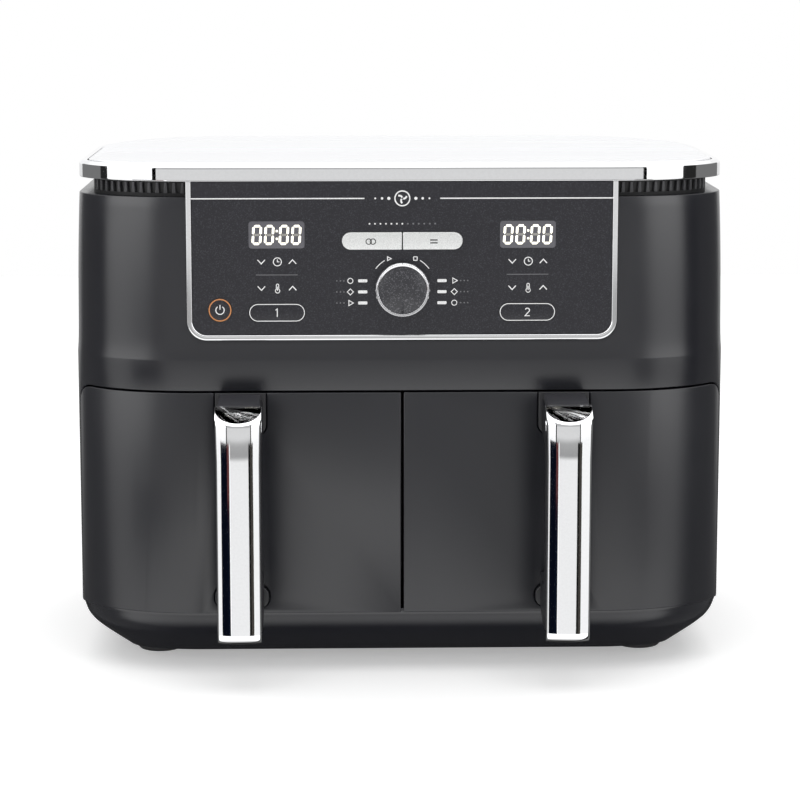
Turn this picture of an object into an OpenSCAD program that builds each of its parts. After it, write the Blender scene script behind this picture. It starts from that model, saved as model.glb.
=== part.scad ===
// Dual-drawer countertop air fryer, built as separate named pieces.
// Z is up, the front faces -Y, the feet stand on z = 0. Lengths in millimetres.
// Pieces that come in left and right pairs end in 1 (left, -X) and 2 (right, +X).

/* [Housing] */
// Width of the housing across its side walls
body_w = 415; // [390:1:440]
// Depth of the housing from drawer faces to rear cover
body_d = 266; // [250:1:285]
// Height from the table to the top of the lid
body_h = 325; // [315:1:340]
// Width of the curved front corner
corner_x = 80; // [65:1:90]
// Depth of the curved front corner
corner_y = 50; // [45:1:55]
// How much the upper housing leans in towards the lid
lean = 2.7; // [0:0.1:4]
// Thickness of the plastic housing wall
wall = 2.6; // [2:0.1:3.5]
// Depth of the spacers on the rear cover
spacer_d = 7.8; // [4:0.1:12]

/* [Drawers] */
// Height of a drawer front
drawer_h = 141.8; // [130:0.1:142]
// Width of a drawer basket
basket_w = 178; // [165:1:179]
// Depth of a drawer basket front to back
basket_d = 208; // [190:1:209]
// Height of a drawer basket
basket_h = 118; // [100:1:119]
// How far the handles stand out from the drawer faces
handle_reach = 48; // [42:1:52]
// Width of a handle
handle_w = 28; // [24:1:34]

/* [Controls] */
// Radius of the silver ring around the dial
dial_r = 17; // [13:0.5:19]
// How far the dial stands out from the panel
dial_out = 9; // [5:0.5:12]
// Width of one display window
display_w = 34.8; // [28:0.1:38]
// Width of the silver two-key bar
key_bar_w = 75; // [60:0.5:80]

/* [Heating] */
// Radius of the hot-air fan wheel
fan_r = 62; // [50:1:72]
// Number of blades on the hot-air fan wheel
fan_blades = 10; // [6:1:14]
// Radius of the outer heater ring
heater_r = 72; // [60:1:80]

/* [Hidden] */
hw = body_w / 2;
fy = handle_reach - (handle_reach + body_d + 2.2 + spacer_d) / 2;
by = fy + body_d;
base_top = 38;
drawer_bot = 39.6;
drawer_top = drawer_bot + drawer_h;
shell_bot = drawer_top + 1.2;
crease_z = 202;
shell_top = body_h - 21;
trim_bot = body_h - 11;
seam_y = fy + 40;
frame_y = seam_y + 2.4;
chamber_y = frame_y + 3.6;
chamber_back = by - 36;
mid_x = 103;
mid_y = (chamber_y + chamber_back) / 2;
basket_y = fy + 18;
basket_z = 52;
basket_rim = basket_z + basket_h;
frame_hole = [basket_w + 9.2, 129, 10];
frame_hole_z = 111.5;
chamber_bot = 42;
chamber_top = 222;
switch_z = 110;
element_x = 12;
heater_z = 190;
fan_z = 201;
cooling_z = 264;
motor_z = 230;
handle_x = 101.5;
handle_screw_z = [56, 166];
handle_crown = 27;
handle_skin = 6.8;
basket_screw_x = [-54, 54];
basket_screw_z = [74, 148];
screw_hole_r = 1.85;
plate_w = basket_w - 8;
plate_d = basket_d - 8;
plate_z = 60;
panel_y = fy + 0.4;
panel_w = 268.6;
panel_z = 214.5;
bezel = 3.7;
board_y = fy + 14;
dial_z = 247;
key_z = 276.9;
display_x = 78.1;
display_z = 280.8;
display_h = 17;
key_bar_h = 10.8;
zone_z = 232.1;
zone_key = [35.1, 11.5];
power_x = 113.6;
power_z = 233.8;
power_r = 7.2;
spacer_spots = [[-100, 278], [100, 278]];
gland_spot = [108, 72];
vent_step = 8;
louvre_step = 5.4;
louvre_gap = 2.4;
shaft_r = 3;
fit = 0.05;
press = 0.02;
gap = 0.3;
facets = 48;
black = [0.12, 0.12, 0.13];
shell_grey = [0.20, 0.20, 0.22];
steel = [0.72, 0.73, 0.74];
chrome = [0.86, 0.87, 0.88];
$fn = facets;

// Points along an elliptical arc from angle a0 to a1
function arc_pts(cx, cy, rx, ry, a0, a1, n) =
  [for (i = [0 : n]) [cx + rx * cos(a0 + (a1 - a0) * i / n),
                      cy + ry * sin(a0 + (a1 - a0) * i / n)]];

// Plan outline with a pair of front corners (fx by fd) and rear corners (rx by rd)
function plan_pts(w, y0, y1, fx, fd, rx, rd, n = 12) = concat(
  arc_pts(w - fx, y0 + fd, fx, fd, 270, 360, n),
  arc_pts(w - rx, y1 - rd, rx, rd, 0, 90, n),
  arc_pts(-w + rx, y1 - rd, rx, rd, 90, 180, n),
  arc_pts(-w + fx, y0 + fd, fx, fd, 180, 270, n));

// Housing outline shrunk by d all round and by s at the front and sides
function body_plan(d, s = 0) =
  plan_pts(hw - d - s, fy + d + s, by - d, corner_x - d, corner_y - d, 50 - d, 60 - d);

// Lid outline shrunk by d all round
function lid_plan(d) =
  plan_pts(hw - 3.2 - d, fy + 0.6 + d, by - 4 - d, corner_x - 2 - d, corner_y - 1 - d,
           65 - d, 85 - d);

// Rectangle with rounded corners, centred
function rounded_pts(w, h, r, n = 5) = concat(
  arc_pts(w / 2 - r, h / 2 - r, r, r, 0, 90, n),
  arc_pts(-w / 2 + r, h / 2 - r, r, r, 90, 180, n),
  arc_pts(-w / 2 + r, -h / 2 + r, r, r, 180, 270, n),
  arc_pts(w / 2 - r, -h / 2 + r, r, r, 270, 360, n));

// Panel outline, rounded at the bottom and square at the top
function panel_pts(w, z0, z1, r, n = 6) = concat(
  [[w / 2, z1], [-w / 2, z1]],
  arc_pts(-w / 2 + r, z0 + r, r, r, 180, 270, n),
  arc_pts(w / 2 - r, z0 + r, r, r, 270, 360, n));

// Half of a bar with one round end, from x = -w to x = 0
function half_bar_pts(w, h, n = 8) = concat(
  [[0, -h / 2], [0, h / 2]],
  arc_pts(-w + h / 2, 0, h / 2, h / 2, 90, 270, n));

// Angles that step along an ellipse by equal lengths
function even_angles(a, b, t, stop, step) =
  t > stop ? [] : concat([t],
    even_angles(a, b, t + step / norm([a * sin(t), b * cos(t)]) * 57.2958, stop, step));

module left_or_right(n) {
  if (n == 1) children();
  else mirror([1, 0, 0]) children();
}

// Extrudes an x-z outline from y0 to y1
module along_y(y0, y1) {
  translate([0, y1, 0])
    rotate([90, 0, 0])
      linear_extrude(y1 - y0) children();
}

// Extrudes a y-z outline from x0 to x1
module along_x(x0, x1) {
  translate([x0, 0, 0])
    rotate([90, 0, 90])
      linear_extrude(x1 - x0) children();
}

module slab(pts, z0, z1) {
  translate([0, 0, z0]) linear_extrude(z1 - z0) polygon(pts);
}

// Tapered block between two outlines
module taper(lower, z0, upper, z1) {
  hull() {
    slab(lower, z0, z0 + 0.01);
    slab(upper, z1 - 0.01, z1);
  }
}

module disc_y(x, z, r, y0, y1) {
  translate([x, y1, z]) rotate([90, 0, 0]) cylinder(r = r, h = y1 - y0);
}

module block(x0, x1, y0, y1, z0, z1) {
  translate([x0, y0, z0]) cube([x1 - x0, y1 - y0, z1 - z0]);
}

// Pan-head screw pointing up, underside of the head at z = 0
module screw(len) {
  translate([0, 0, -2]) cylinder(r = 3.6, h = 2, $fn = 24);
  translate([0, 0, -0.01]) cylinder(r = 1.8, h = len, $fn = 24);
}

/* Positions shared by pieces that meet */
foot_spots = [[-158, fy + 67], [158, fy + 67], [-150, by - 57], [150, by - 57]];
base_screw_spots = [[-150, by - 25], [150, by - 25], [-50, by - 25], [50, by - 25]];
rear_screw_spots = [for (x = [-137, 137]) for (z = [70, 170, 270]) [x, z]];

module base_tray() {
  color(shell_grey)
  difference() {
    union() {
      difference() {
        union() {
          slab(body_plan(0.5), base_top - 2.8, base_top);
          taper(body_plan(7), base_top - 9.6, body_plan(0.5), base_top - 2.8);
          taper(body_plan(20), 16.4, body_plan(7), base_top - 9.6);
          taper(body_plan(32), 7, body_plan(20), 16.4);
        }
        taper(body_plan(36), 9.6, body_plan(24), 17.8);
        taper(body_plan(24), 17.8, body_plan(7), base_top - 2.6);
        block(-hw + 10, hw - 10, chamber_y + 4, by - 14, 34, base_top + 1);
      }
      for (x = [-162, -103, -30, 30, 103, 162])
        block(x - 1.5, x + 1.5, chamber_y + 4, chamber_back - 8, 8.5, chamber_bot);
      for (p = base_screw_spots)
        translate([p[0], p[1], 14]) cylinder(r = 6.4, h = base_top - 14);
      for (p = foot_spots)
        translate([p[0], p[1], 8]) cylinder(r = 9, h = 6);
    }
    for (p = base_screw_spots) {
      translate([p[0], p[1], 4]) cylinder(r = 4, h = 28);
      translate([p[0], p[1], 30]) cylinder(r = screw_hole_r, h = 10);
    }
    for (p = foot_spots)
      translate([p[0], p[1], 4]) cylinder(r = 5.6, h = 8);
  }
}

module feet() {
  color(black)
  for (p = foot_spots)
    translate([p[0], p[1], 0])
      rotate_extrude()
        polygon([[0, 0], [14.4, 0], [16, 1.6], [16, 7], [5.5, 7], [5.5, 11.8], [0, 11.8]]);
}

module outer_shell() {
  color(shell_grey)
  difference() {
    union() {
      difference() {
        union() {
          slab(body_plan(0), base_top, crease_z);
          taper(body_plan(0), crease_z, body_plan(0, lean), shell_top);
        }
        slab(body_plan(wall), base_top - 1, crease_z + 0.01);
        taper(body_plan(wall), crease_z, body_plan(wall, lean), shell_top - wall);
        slab(lid_plan(14), shell_top - 4, shell_top + 1);
      }
      intersection() {
        slab(body_plan(wall - 0.5), shell_bot, shell_bot + wall);
        block(-hw, hw, fy, chamber_y, 0, 300);
      }
      for (p = base_screw_spots) {
        translate([p[0], p[1], base_top]) cylinder(r = 6, h = 14);
        block(p[0] - 1.5, p[0] + 1.5, p[1] + 4, by - wall + 0.5, base_top, base_top + 14);
      }
      for (p = rear_screw_spots)
        disc_y(p[0], p[1], 5, by - 14, by - 1);
    }
    along_x(-hw - 1, hw + 1)
      polygon(concat([[fy - 2, shell_bot], [fy - 2, 0], [seam_y + 0.6, 0]],
                     arc_pts(seam_y - 14.6, shell_bot - 15.2, 15.2, 15.2, 0, 90, 6)));
    along_y(fy - 1, fy + 7.8)
      polygon(panel_pts(panel_w + 0.3, panel_z - 0.15, body_h, 12.6));
    block(-132, 132, by - wall - 1, by + 1, 56, 284);
    for (p = base_screw_spots)
      translate([p[0], p[1], base_top - 1]) cylinder(r = screw_hole_r, h = 13);
    for (p = rear_screw_spots)
      disc_y(p[0], p[1], screw_hole_r, by - 13, by + 1);
  }
}

module rear_cover() {
  color(shell_grey)
  difference() {
    along_y(by, by + 2.2)
      translate([0, 170]) polygon(rounded_pts(284, 250, 8));
    for (side = [-1, 1])
      for (i = [0 : 8])
        translate([side * 72, 0, 196 + i * vent_step]) block(-42, 42, by - 1, by + 3, 0, 4);
    for (i = [0 : 4])
      translate([0, 0, 68 + i * vent_step]) block(-60, 60, by - 1, by + 3, 0, 4);
    for (p = rear_screw_spots)
      disc_y(p[0], p[1], screw_hole_r, by - 1, by + 3);
    disc_y(gland_spot[0], gland_spot[1], 8, by - 1, by + 3);
    for (p = spacer_spots)
      disc_y(p[0], p[1], 5, by - 1, by + 3);
  }
}

module vent_collar() {
  ax = corner_x - 11;
  ay = corner_y - 10;
  cx = hw - 3.2 - corner_x + 2;
  cy = fy + 0.6 + corner_y - 1;
  color(black)
  difference() {
    slab(lid_plan(9), shell_top, trim_bot);
    slab(lid_plan(12.2), shell_top - 1, trim_bot + 1);
    for (side = [-1, 1]) {
      for (t = even_angles(ax, ay, 6, 88, louvre_step))
        translate([side * (cx + ax * sin(t)), cy - ay * cos(t), shell_top + 1])
          rotate([0, 0, side * atan2(ax * cos(90 - t), ay * sin(90 - t))])
            translate([-louvre_gap / 2, -3, 0]) cube([louvre_gap, 9, trim_bot - shell_top - 2]);
      for (i = [0 : 22])
        translate([side * (hw - 14), cy + 4 + i * louvre_step, shell_top + 1])
          translate([-4, -louvre_gap / 2, 0]) cube([8, louvre_gap, trim_bot - shell_top - 2]);
    }
  }
}

module lid_trim() {
  color(chrome)
  difference() {
    union() {
      slab(lid_plan(0), trim_bot, body_h - 2.4);
      taper(lid_plan(0), body_h - 2.41, lid_plan(1.8), body_h - 0.6);
    }
    slab(lid_plan(5), body_h - 5, body_h + 1);
    slab(lid_plan(12.5), trim_bot - 1, body_h);
  }
}

module lid_panel() {
  color([0.95, 0.95, 0.95])
  union() {
    slab(lid_plan(5.4), body_h - 1.2, body_h);
    difference() {
      slab(lid_plan(5.4), body_h - 5, body_h - 1.1);
      slab(lid_plan(6.6), body_h - 6, body_h - 1.1);
    }
  }
}

module front_frame() {
  color(black)
  difference() {
    union() {
      block(-hw + wall + 2, hw - wall - 2, frame_y, chamber_y, base_top, shell_bot);
      block(-6.5, 6.5, frame_y, chamber_y + 14, base_top, 60);
    }
    for (x = [-mid_x, mid_x])
      along_y(frame_y - 1, chamber_y + 1)
        translate([x, frame_hole_z])
          polygon(rounded_pts(frame_hole[0], frame_hole[1], frame_hole[2]));
  }
}

module panel_trim() {
  color(chrome)
  difference() {
    along_y(panel_y - 0.8, panel_y + 3)
      polygon(panel_pts(panel_w, panel_z, trim_bot - 0.1, 12.5));
    along_y(panel_y - 2, panel_y + 4)
      polygon(panel_pts(panel_w - 2 * bezel + 0.2, panel_z + bezel - 0.1, trim_bot + 1, 8.9));
  }
}

module control_panel() {
  color([0.15, 0.15, 0.17])
  difference() {
    union() {
      along_y(panel_y, panel_y + 3)
        polygon(panel_pts(panel_w - 2 * bezel, panel_z + bezel, trim_bot - 0.2, 8.8));
      difference() {
        union() {
          along_y(panel_y + 2.9, panel_y + 7)
            polygon(panel_pts(panel_w - 2 * bezel, panel_z + bezel, trim_bot - 0.2, 8.8));
          along_y(panel_y + 5.6, panel_y + 7)
            polygon(panel_pts(panel_w + 4, panel_z - 2, shell_top - 4, 12));
        }
        along_y(panel_y + 2.8, panel_y + 8)
          polygon(panel_pts(panel_w - 12, panel_z + 6, trim_bot - 2.5, 6.5));
      }
    }
    for (x = [-display_x, display_x]) {
      along_y(panel_y - 1, panel_y + 4)
        translate([x, display_z]) polygon(rounded_pts(display_w + 0.1, display_h + 0.1, 2));
      along_y(panel_y - 1, panel_y + 4)
        translate([x, zone_z])
          polygon(rounded_pts(zone_key[0] + 2 * gap, zone_key[1] + 2 * gap, 6, 6));
    }
    along_y(panel_y - 1, panel_y + 4)
      translate([0, key_z])
        polygon(rounded_pts(key_bar_w + 2 * gap, key_bar_h + 2 * gap, 5.69, 8));
    disc_y(-power_x, power_z, power_r + gap, panel_y - 1, panel_y + 4);
    disc_y(0, dial_z, 8, panel_y - 1, panel_y + 4);
  }
}

module display_lens(n) {
  color([0.4, 0.4, 0.42])
  left_or_right(n)
    along_y(panel_y, panel_y + 1.6)
      translate([-display_x, display_z]) polygon(rounded_pts(display_w, display_h, 1.95));
}

module display_modules() {
  color([0.8, 0.8, 0.78])
  for (x = [-display_x, display_x])
    block(x - 16.5, x + 16.5, panel_y + 1.7, board_y, display_z - 8, display_z + 8);
}

module control_board() {
  color([0.1, 0.35, 0.2])
  union() {
    block(-125, 125, board_y, board_y + 1.6, 222, 298);
    for (x = [-display_x, display_x])
      block(x - 3, x + 3, board_y - 3, board_y + 0.1, zone_z - 3, zone_z + 3);
    for (x = [-20, 20])
      block(x - 3, x + 3, board_y - 3, board_y + 0.1, key_z - 3, key_z + 3);
    block(-power_x - 3, -power_x + 3, board_y - 3, board_y + 0.1, power_z - 3, power_z + 3);
    block(-60, -38, board_y + 1.5, board_y + 4, 250, 270);
    block(40, 66, board_y + 1.5, board_y + 10, 234, 244);
    for (p = [[-118, 292], [118, 292], [-50, 228], [50, 228]])
      disc_y(p[0], p[1], 3, panel_y + 3, board_y + 0.1);
  }
}

module power_board() {
  color([0.1, 0.3, 0.2])
  union() {
    block(-46, 46, -20, 92, 240, 241.6);
    block(-38, -14, -10, 16, 241.5, 258);
    block(10, 36, -8, 20, 241.5, 264);
    for (y = [34, 56])
      translate([-24, y, 241.5]) cylinder(r = 8, h = 22);
    for (y = [34, 60])
      block(8, 34, y, y + 18, 241.5, 256);
    for (x = [-42, 42])
      for (y = [-16, 88])
        translate([x, y, 222]) cylinder(r = 3, h = 18.1);
    block(-46, -38, -20, 92, 222, 224);
    block(38, 46, -20, 92, 222, 224);
  }
}

module chamber(n) {
  x0 = -mid_x - basket_w / 2 - 6;
  x1 = -mid_x + basket_w / 2 + 6;
  color(steel)
  left_or_right(n)
  difference() {
    union() {
      difference() {
        block(x0, x1, chamber_y, chamber_back, chamber_bot, chamber_top);
        block(x0 + 1, x1 - 1, chamber_y + 1, chamber_back - 1, chamber_bot + 1, chamber_top - 1);
        along_y(chamber_y - 1, chamber_y + 2)
          translate([-mid_x, frame_hole_z])
            polygon(rounded_pts(frame_hole[0], frame_hole[1], frame_hole[2]));
      }
      for (x = [-62, 62])
        block(-mid_x + x - 2, -mid_x + x + 2, chamber_y + 8, chamber_back - 6,
              chamber_bot + 0.5, basket_z - 0.4);
    }
    translate([-mid_x, mid_y, chamber_top - 7]) {
      cylinder(r = 7, h = 10);
      for (x = [-element_x, element_x])
        translate([x, heater_r - 1, 0]) cylinder(r = 4.2, h = 10);
      translate([80, -60, 0]) cylinder(r = 2.4, h = 10);
    }
    disc_y(-mid_x, switch_z, 2.6, chamber_back - 3, chamber_back + 1);
  }
}

// Two heating rings hung from the ceiling by their terminals
module heater(n) {
  color([0.35, 0.33, 0.32])
  left_or_right(n)
  translate([-mid_x, mid_y, heater_z]) {
    rotate([0, 0, 100])
      rotate_extrude(angle = 340) translate([heater_r, 0]) circle(r = 3.2, $fn = 20);
    rotate_extrude() translate([heater_r - 20, 0]) circle(r = 3.2, $fn = 20);
    for (a = [45, 135, 225, 315])
      rotate([0, 0, a])
        translate([heater_r - 21, -2, 2.4]) cube([24, 4, 1.6]);
    for (x = [-element_x, element_x]) {
      translate([x, heater_r - 1, 0]) cylinder(r = 3.2, h = 31, $fn = 20);
      translate([x, heater_r - 1, 31]) cylinder(r = 4, h = 3, $fn = 20);
      translate([x, heater_r - 1, 33.9]) cylinder(r = 1.6, h = 8, $fn = 20);
    }
  }
}

module fan_motor(n) {
  color([0.55, 0.56, 0.58])
  left_or_right(n)
  translate([-mid_x, mid_y, 0])
  difference() {
    union() {
      translate([0, 0, motor_z]) linear_extrude(2) polygon(rounded_pts(84, 84, 8));
      translate([0, 0, motor_z + 1.9]) cylinder(r = 27, h = 22);
      translate([0, 0, motor_z - 4]) cylinder(r = 9, h = 34);
      for (x = [-36, 36])
        for (y = [-36, 36])
          translate([x, y, chamber_top])
            cylinder(r = 4, h = motor_z - chamber_top + 0.1, $fn = 24);
    }
    translate([0, 0, motor_z - 10]) cylinder(r = shaft_r + fit, h = 50);
  }
}

module temperature_sensors() {
  color(steel)
  for (side = [-1, 1])
    translate([side * (mid_x - 80), mid_y - 60, 184]) {
      cylinder(r = 2, h = 42, $fn = 24);
      translate([0, 0, 38]) cylinder(r = 4.5, h = 5, $fn = 24);
    }
}

module drawer_switches() {
  color(black)
  for (side = [-1, 1]) {
    translate([side * mid_x, chamber_back, switch_z]) block(-9, 9, 0, 12, -8, 8);
    disc_y(side * mid_x, switch_z, 2, chamber_back - 2.5, chamber_back + 1);
  }
}

module cord_gland() {
  color(black)
  translate([gland_spot[0], by, gland_spot[1]])
    rotate([-90, 0, 0])
      rotate_extrude()
        polygon([[3.6, -6], [8, -6], [8, 0], [7.7, 0], [7.7, 2.2], [11, 2.2],
                 [11, 4.4], [6, 6.2], [3.6, 6.2]]);
}

module rear_spacers() {
  color(black)
  for (p = spacer_spots) {
    disc_y(p[0], p[1], 4.8, by - 2, by + 2.3);
    disc_y(p[0], p[1], 11, by + 2.2, by + 2.2 + spacer_d);
  }
}

module housing_screws() {
  color([0.3, 0.3, 0.32])
  union() {
    for (p = base_screw_spots)
      translate([p[0], p[1], 32]) screw(14);
    for (p = rear_screw_spots)
      translate([p[0], by + 2.2, p[1]]) rotate([90, 0, 0]) screw(14);
  }
}

module encoder_body() {
  color([0.5, 0.5, 0.52])
  difference() {
    block(-9, 9, board_y - 6, board_y, dial_z - 9, dial_z + 9);
    disc_y(0, dial_z, 5 + gap, board_y - 7, board_y + 1);
  }
}

module encoder_plunger() {
  color([0.7, 0.7, 0.72])
  difference() {
    disc_y(0, dial_z, 5, board_y - 8.4, board_y - 1.6);
    disc_y(0, dial_z, shaft_r + fit, board_y - 9, board_y);
  }
}

module dial_shaft() {
  color(steel)
  union() {
    disc_y(0, dial_z, shaft_r, panel_y - dial_out + 2.5, board_y - 1.8);
    disc_y(0, dial_z, 4.4, board_y - 9.7, board_y - 8.7);
  }
}

module dial_knob() {
  color(black)
  translate([0, panel_y, dial_z])
    rotate([90, 0, 0])
      rotate_extrude()
        polygon([[shaft_r, 1.2], [dial_r - 2.2, 1.2], [dial_r - 2.2, dial_out - 0.9],
                 [dial_r - 3.4, dial_out - 0.5], [0, dial_out - 0.5], [0, dial_out - 2.5],
                 [shaft_r, dial_out - 2.5]]);
}

module dial_ring() {
  color(chrome)
  translate([0, panel_y, dial_z])
    rotate([90, 0, 0])
      rotate_extrude()
        polygon([[dial_r - 2.2, 1.2], [dial_r, 1.2], [dial_r, dial_out - 1],
                 [dial_r - 0.8, dial_out], [dial_r - 2.2, dial_out - 0.4]]);
}

// Key with a cap in the panel, a collar behind it and a stem to its switch
module key(x, z, stem_x, proud) {
  translate([x, 0, z]) along_y(panel_y - proud, panel_y + 3.4) children(0);
  translate([x, 0, z]) along_y(panel_y + 3.35, panel_y + 4.4) children(1);
  disc_y(stem_x, z, 2, panel_y + 4.3, board_y - 4.3);
}

module bar_button(n) {
  left_or_right(n)
    key(-0.35, key_z, -20, 1) {
      polygon(half_bar_pts(key_bar_w / 2 - 0.35, key_bar_h));
      polygon(half_bar_pts(key_bar_w / 2 + 0.9, key_bar_h + 2.4));
    }
}

module sync_button() {
  color([0.8, 0.8, 0.82]) bar_button(1);
}

module match_button() {
  color([0.8, 0.8, 0.82]) bar_button(2);
}

module zone_button(n) {
  color([0.15, 0.15, 0.17])
  left_or_right(n)
    key(-display_x, zone_z, -display_x, 0.3) {
      polygon(rounded_pts(zone_key[0], zone_key[1], 5.7, 6));
      polygon(rounded_pts(zone_key[0] + 2.9, zone_key[1] + 2.5, 6.9, 6));
    }
}

module power_button() {
  color([0.15, 0.15, 0.17])
  union() {
    disc_y(-power_x, power_z, power_r, panel_y - 0.3, panel_y + 3.4);
    disc_y(-power_x, power_z, power_r + 1.4, panel_y + 3.35, panel_y + 4.4);
    disc_y(-power_x, power_z, 2, panel_y + 4.3, board_y - 4.3);
  }
}

module fan_shaft(n) {
  color(steel)
  left_or_right(n)
    translate([-mid_x, mid_y, fan_z - 2]) cylinder(r = shaft_r, h = 80);
}

module convection_fan(n) {
  color(steel)
  left_or_right(n)
  translate([-mid_x, mid_y, 0])
  difference() {
    union() {
      translate([0, 0, fan_z]) cylinder(r = fan_r, h = 1.2);
      translate([0, 0, fan_z]) cylinder(r = 9, h = 12);
      for (i = [0 : fan_blades - 1])
        rotate([0, 0, i * 360 / fan_blades])
          translate([24, -0.6, fan_z + 1.1])
            rotate([0, 0, 12]) cube([fan_r - 26, 1.2, 11]);
    }
    translate([0, 0, fan_z - 3]) cylinder(r = shaft_r + press, h = 20);
  }
}

module cooling_fan(n) {
  color(black)
  left_or_right(n)
  translate([-mid_x, mid_y, 0])
  difference() {
    union() {
      translate([0, 0, cooling_z]) cylinder(r = 10, h = 12);
      translate([0, 0, cooling_z]) cylinder(r = 44, h = 1.4);
      for (i = [0 : 8])
        rotate([0, 0, i * 40])
          translate([8, -0.7, cooling_z + 1.3]) cube([36, 1.4, 10]);
    }
    translate([0, 0, cooling_z - 4]) cylinder(r = shaft_r + press, h = 20);
  }
}

// Side outline that rounds the upper rear corner of a drawer front
function drawer_side_pts(z0, z1, y1, r) = concat(
  [[fy - 2, z1], [fy - 2, z0], [y1, z0]],
  arc_pts(y1 - r, z1 - r, r, r, 0, 90, 6));

module drawer_front(n) {
  color(shell_grey)
  left_or_right(n)
  difference() {
    intersection() {
      difference() {
        slab(body_plan(0), drawer_bot, drawer_top);
        difference() {
          slab(body_plan(3), drawer_bot + 3, drawer_top - 3);
          intersection() {
            block(-hw, 0, seam_y - 3.2, seam_y - 0.6, 0, 200);
            slab(body_plan(2), 0, 200);
          }
          block(-3.85, 0, fy, 0, 0, 200);
          for (x = basket_screw_x)
            for (z = basket_screw_z)
              disc_y(-mid_x + x, z, 6, fy + 2, basket_y);
          for (z = handle_screw_z)
            disc_y(-handle_x, z, 6, fy + 2, fy + 7);
        }
      }
      along_x(-hw - 1, -0.85)
        polygon(drawer_side_pts(drawer_bot, drawer_top, seam_y - 0.6, 14));
    }
    along_y(seam_y - 5, seam_y + 1)
      translate([-mid_x, 111.7]) polygon(rounded_pts(basket_w + 1, 123, 2, 2));
    for (x = basket_screw_x)
      for (z = basket_screw_z)
        disc_y(-mid_x + x, z, screw_hole_r, basket_y - 11, basket_y + 1);
    for (z = handle_screw_z)
      disc_y(-handle_x, z, screw_hole_r, fy - 1, fy + 13);
  }
}

module basket(n) {
  color([0.16, 0.16, 0.17])
  left_or_right(n)
  translate([-mid_x, basket_y + basket_d / 2, 0])
  difference() {
    union() {
      slab(rounded_pts(basket_w, basket_d, 30, 6), basket_z, basket_rim);
      translate([0, 10.9, 0])
        slab(rounded_pts(basket_w + 5, basket_d - 21.8, 25, 6), basket_rim - 2, basket_rim);
    }
    slab(rounded_pts(basket_w - 2, basket_d - 2, 29, 6), basket_z + 1, basket_rim + 1);
    for (x = basket_screw_x)
      for (z = basket_screw_z)
        disc_y(x, z, screw_hole_r, -basket_d / 2 - 1, -basket_d / 2 + 3);
  }
}

// Handle outline seen from the side: u is the distance out from the drawer face
function out(u) = fy - u;

module handle_body(n) {
  r = handle_reach;
  color(black)
  left_or_right(n)
  translate([-handle_x, 0, 0])
  difference() {
    union() {
      along_x(-handle_w / 2, handle_w / 2)
        polygon([
          [out(0), 176.8], [out(r - 15), 174.6], [out(r - handle_skin), 166.4],
          [out(r - handle_skin), 44], [out(r - 8.4), 38.8], [out(r - 13), 36.8],
          [out(20), 38.4], [out(8), 41.6], [out(0), 46],
          [out(0), 66], [out(9), 61.4], [out(20), 61.6], [out(28), 66.4],
          [out(31.5), 76], [out(32.5), 100], [out(31.5), 140], [out(29), 148],
          [out(22), 153.6], [out(10), 156.2], [out(0), 156.6]
        ]);
      along_y(out(3), out(0))
        translate([0, 50.5]) polygon(rounded_pts(handle_w + 5, 14, 6));
    }
    for (z = handle_screw_z)
      disc_y(0, z, screw_hole_r, fy - 6, fy + 1);
  }
}

// Crowned bright strip over the front of the handle
module handle_trim(n) {
  r = handle_reach;
  half = handle_w / 2 - 0.5;
  a = asin(half / handle_crown);
  color(chrome)
  left_or_right(n)
  translate([-handle_x, 0, 0])
  intersection() {
    along_x(-half, half)
      polygon([
        [out(r - handle_skin), 162.4], [out(r - 2.7), 162.4], [out(r - 2.7), 167.2],
        [out(r - 1.8), 166.4], [out(r - 0.8), 158], [out(r), 146], [out(r), 64],
        [out(r - 0.8), 47], [out(r - 2.6), 38.4], [out(r - 4.4), 34.6],
        [out(r - 9), 34.4], [out(r - 13), 36.8], [out(r - 8.4), 38.8],
        [out(r - handle_skin), 44]
      ]);
    translate([0, 0, 30])
      linear_extrude(140)
        polygon(concat([[half, out(r - 14)], [-half, out(r - 14)]],
                       arc_pts(0, out(r - handle_crown), handle_crown, handle_crown,
                               270 - a, 270 + a, 12)));
  }
}

// Top cover of the handle: level at the back, sloped at the front
module handle_cap(n) {
  r = handle_reach;
  half = handle_w / 2 - 0.4;
  nose = handle_crown - 3;
  a = asin((half - 0.9) / nose);
  color([0.16, 0.16, 0.17])
  left_or_right(n)
  translate([-handle_x, 0, 0])
  intersection() {
    along_x(-half, half)
      polygon([
        [out(0), 176.8], [out(0), 180.8], [out(r - 14), 178.6], [out(r - 3), 167.6],
        [out(r - 3), 162.4], [out(r - handle_skin), 162.4], [out(r - handle_skin), 166.4],
        [out(r - 15), 174.6]
      ]);
    translate([0, 0, 150])
      linear_extrude(40)
        polygon(concat([[half, out(r - 14)], [half, out(-1)], [-half, out(-1)],
                        [-half, out(r - 14)]],
                       arc_pts(0, out(r - handle_crown), nose, nose, 270 - a, 270 + a, 12)));
  }
}

module drawer_gasket(n) {
  color([0.5, 0.5, 0.5])
  left_or_right(n)
  difference() {
    along_y(seam_y - 0.6, frame_y - 0.4)
      translate([-mid_x, frame_hole_z])
        polygon(rounded_pts(frame_hole[0] + 8.2, frame_hole[1] + 8, 12));
    along_y(seam_y - 2, frame_y + 1)
      translate([-mid_x, frame_hole_z])
        polygon(rounded_pts(frame_hole[0] + 0.8, frame_hole[1] + 0.8, 10));
  }
}

module drawer_screws(n) {
  color([0.6, 0.6, 0.62])
  left_or_right(n) {
    for (x = basket_screw_x)
      for (z = basket_screw_z)
        translate([-mid_x + x, basket_y + 1, z]) rotate([90, 0, 0]) screw(11);
    for (z = handle_screw_z)
      translate([-handle_x, fy + 7, z]) rotate([90, 0, 0]) screw(12);
  }
}

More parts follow.
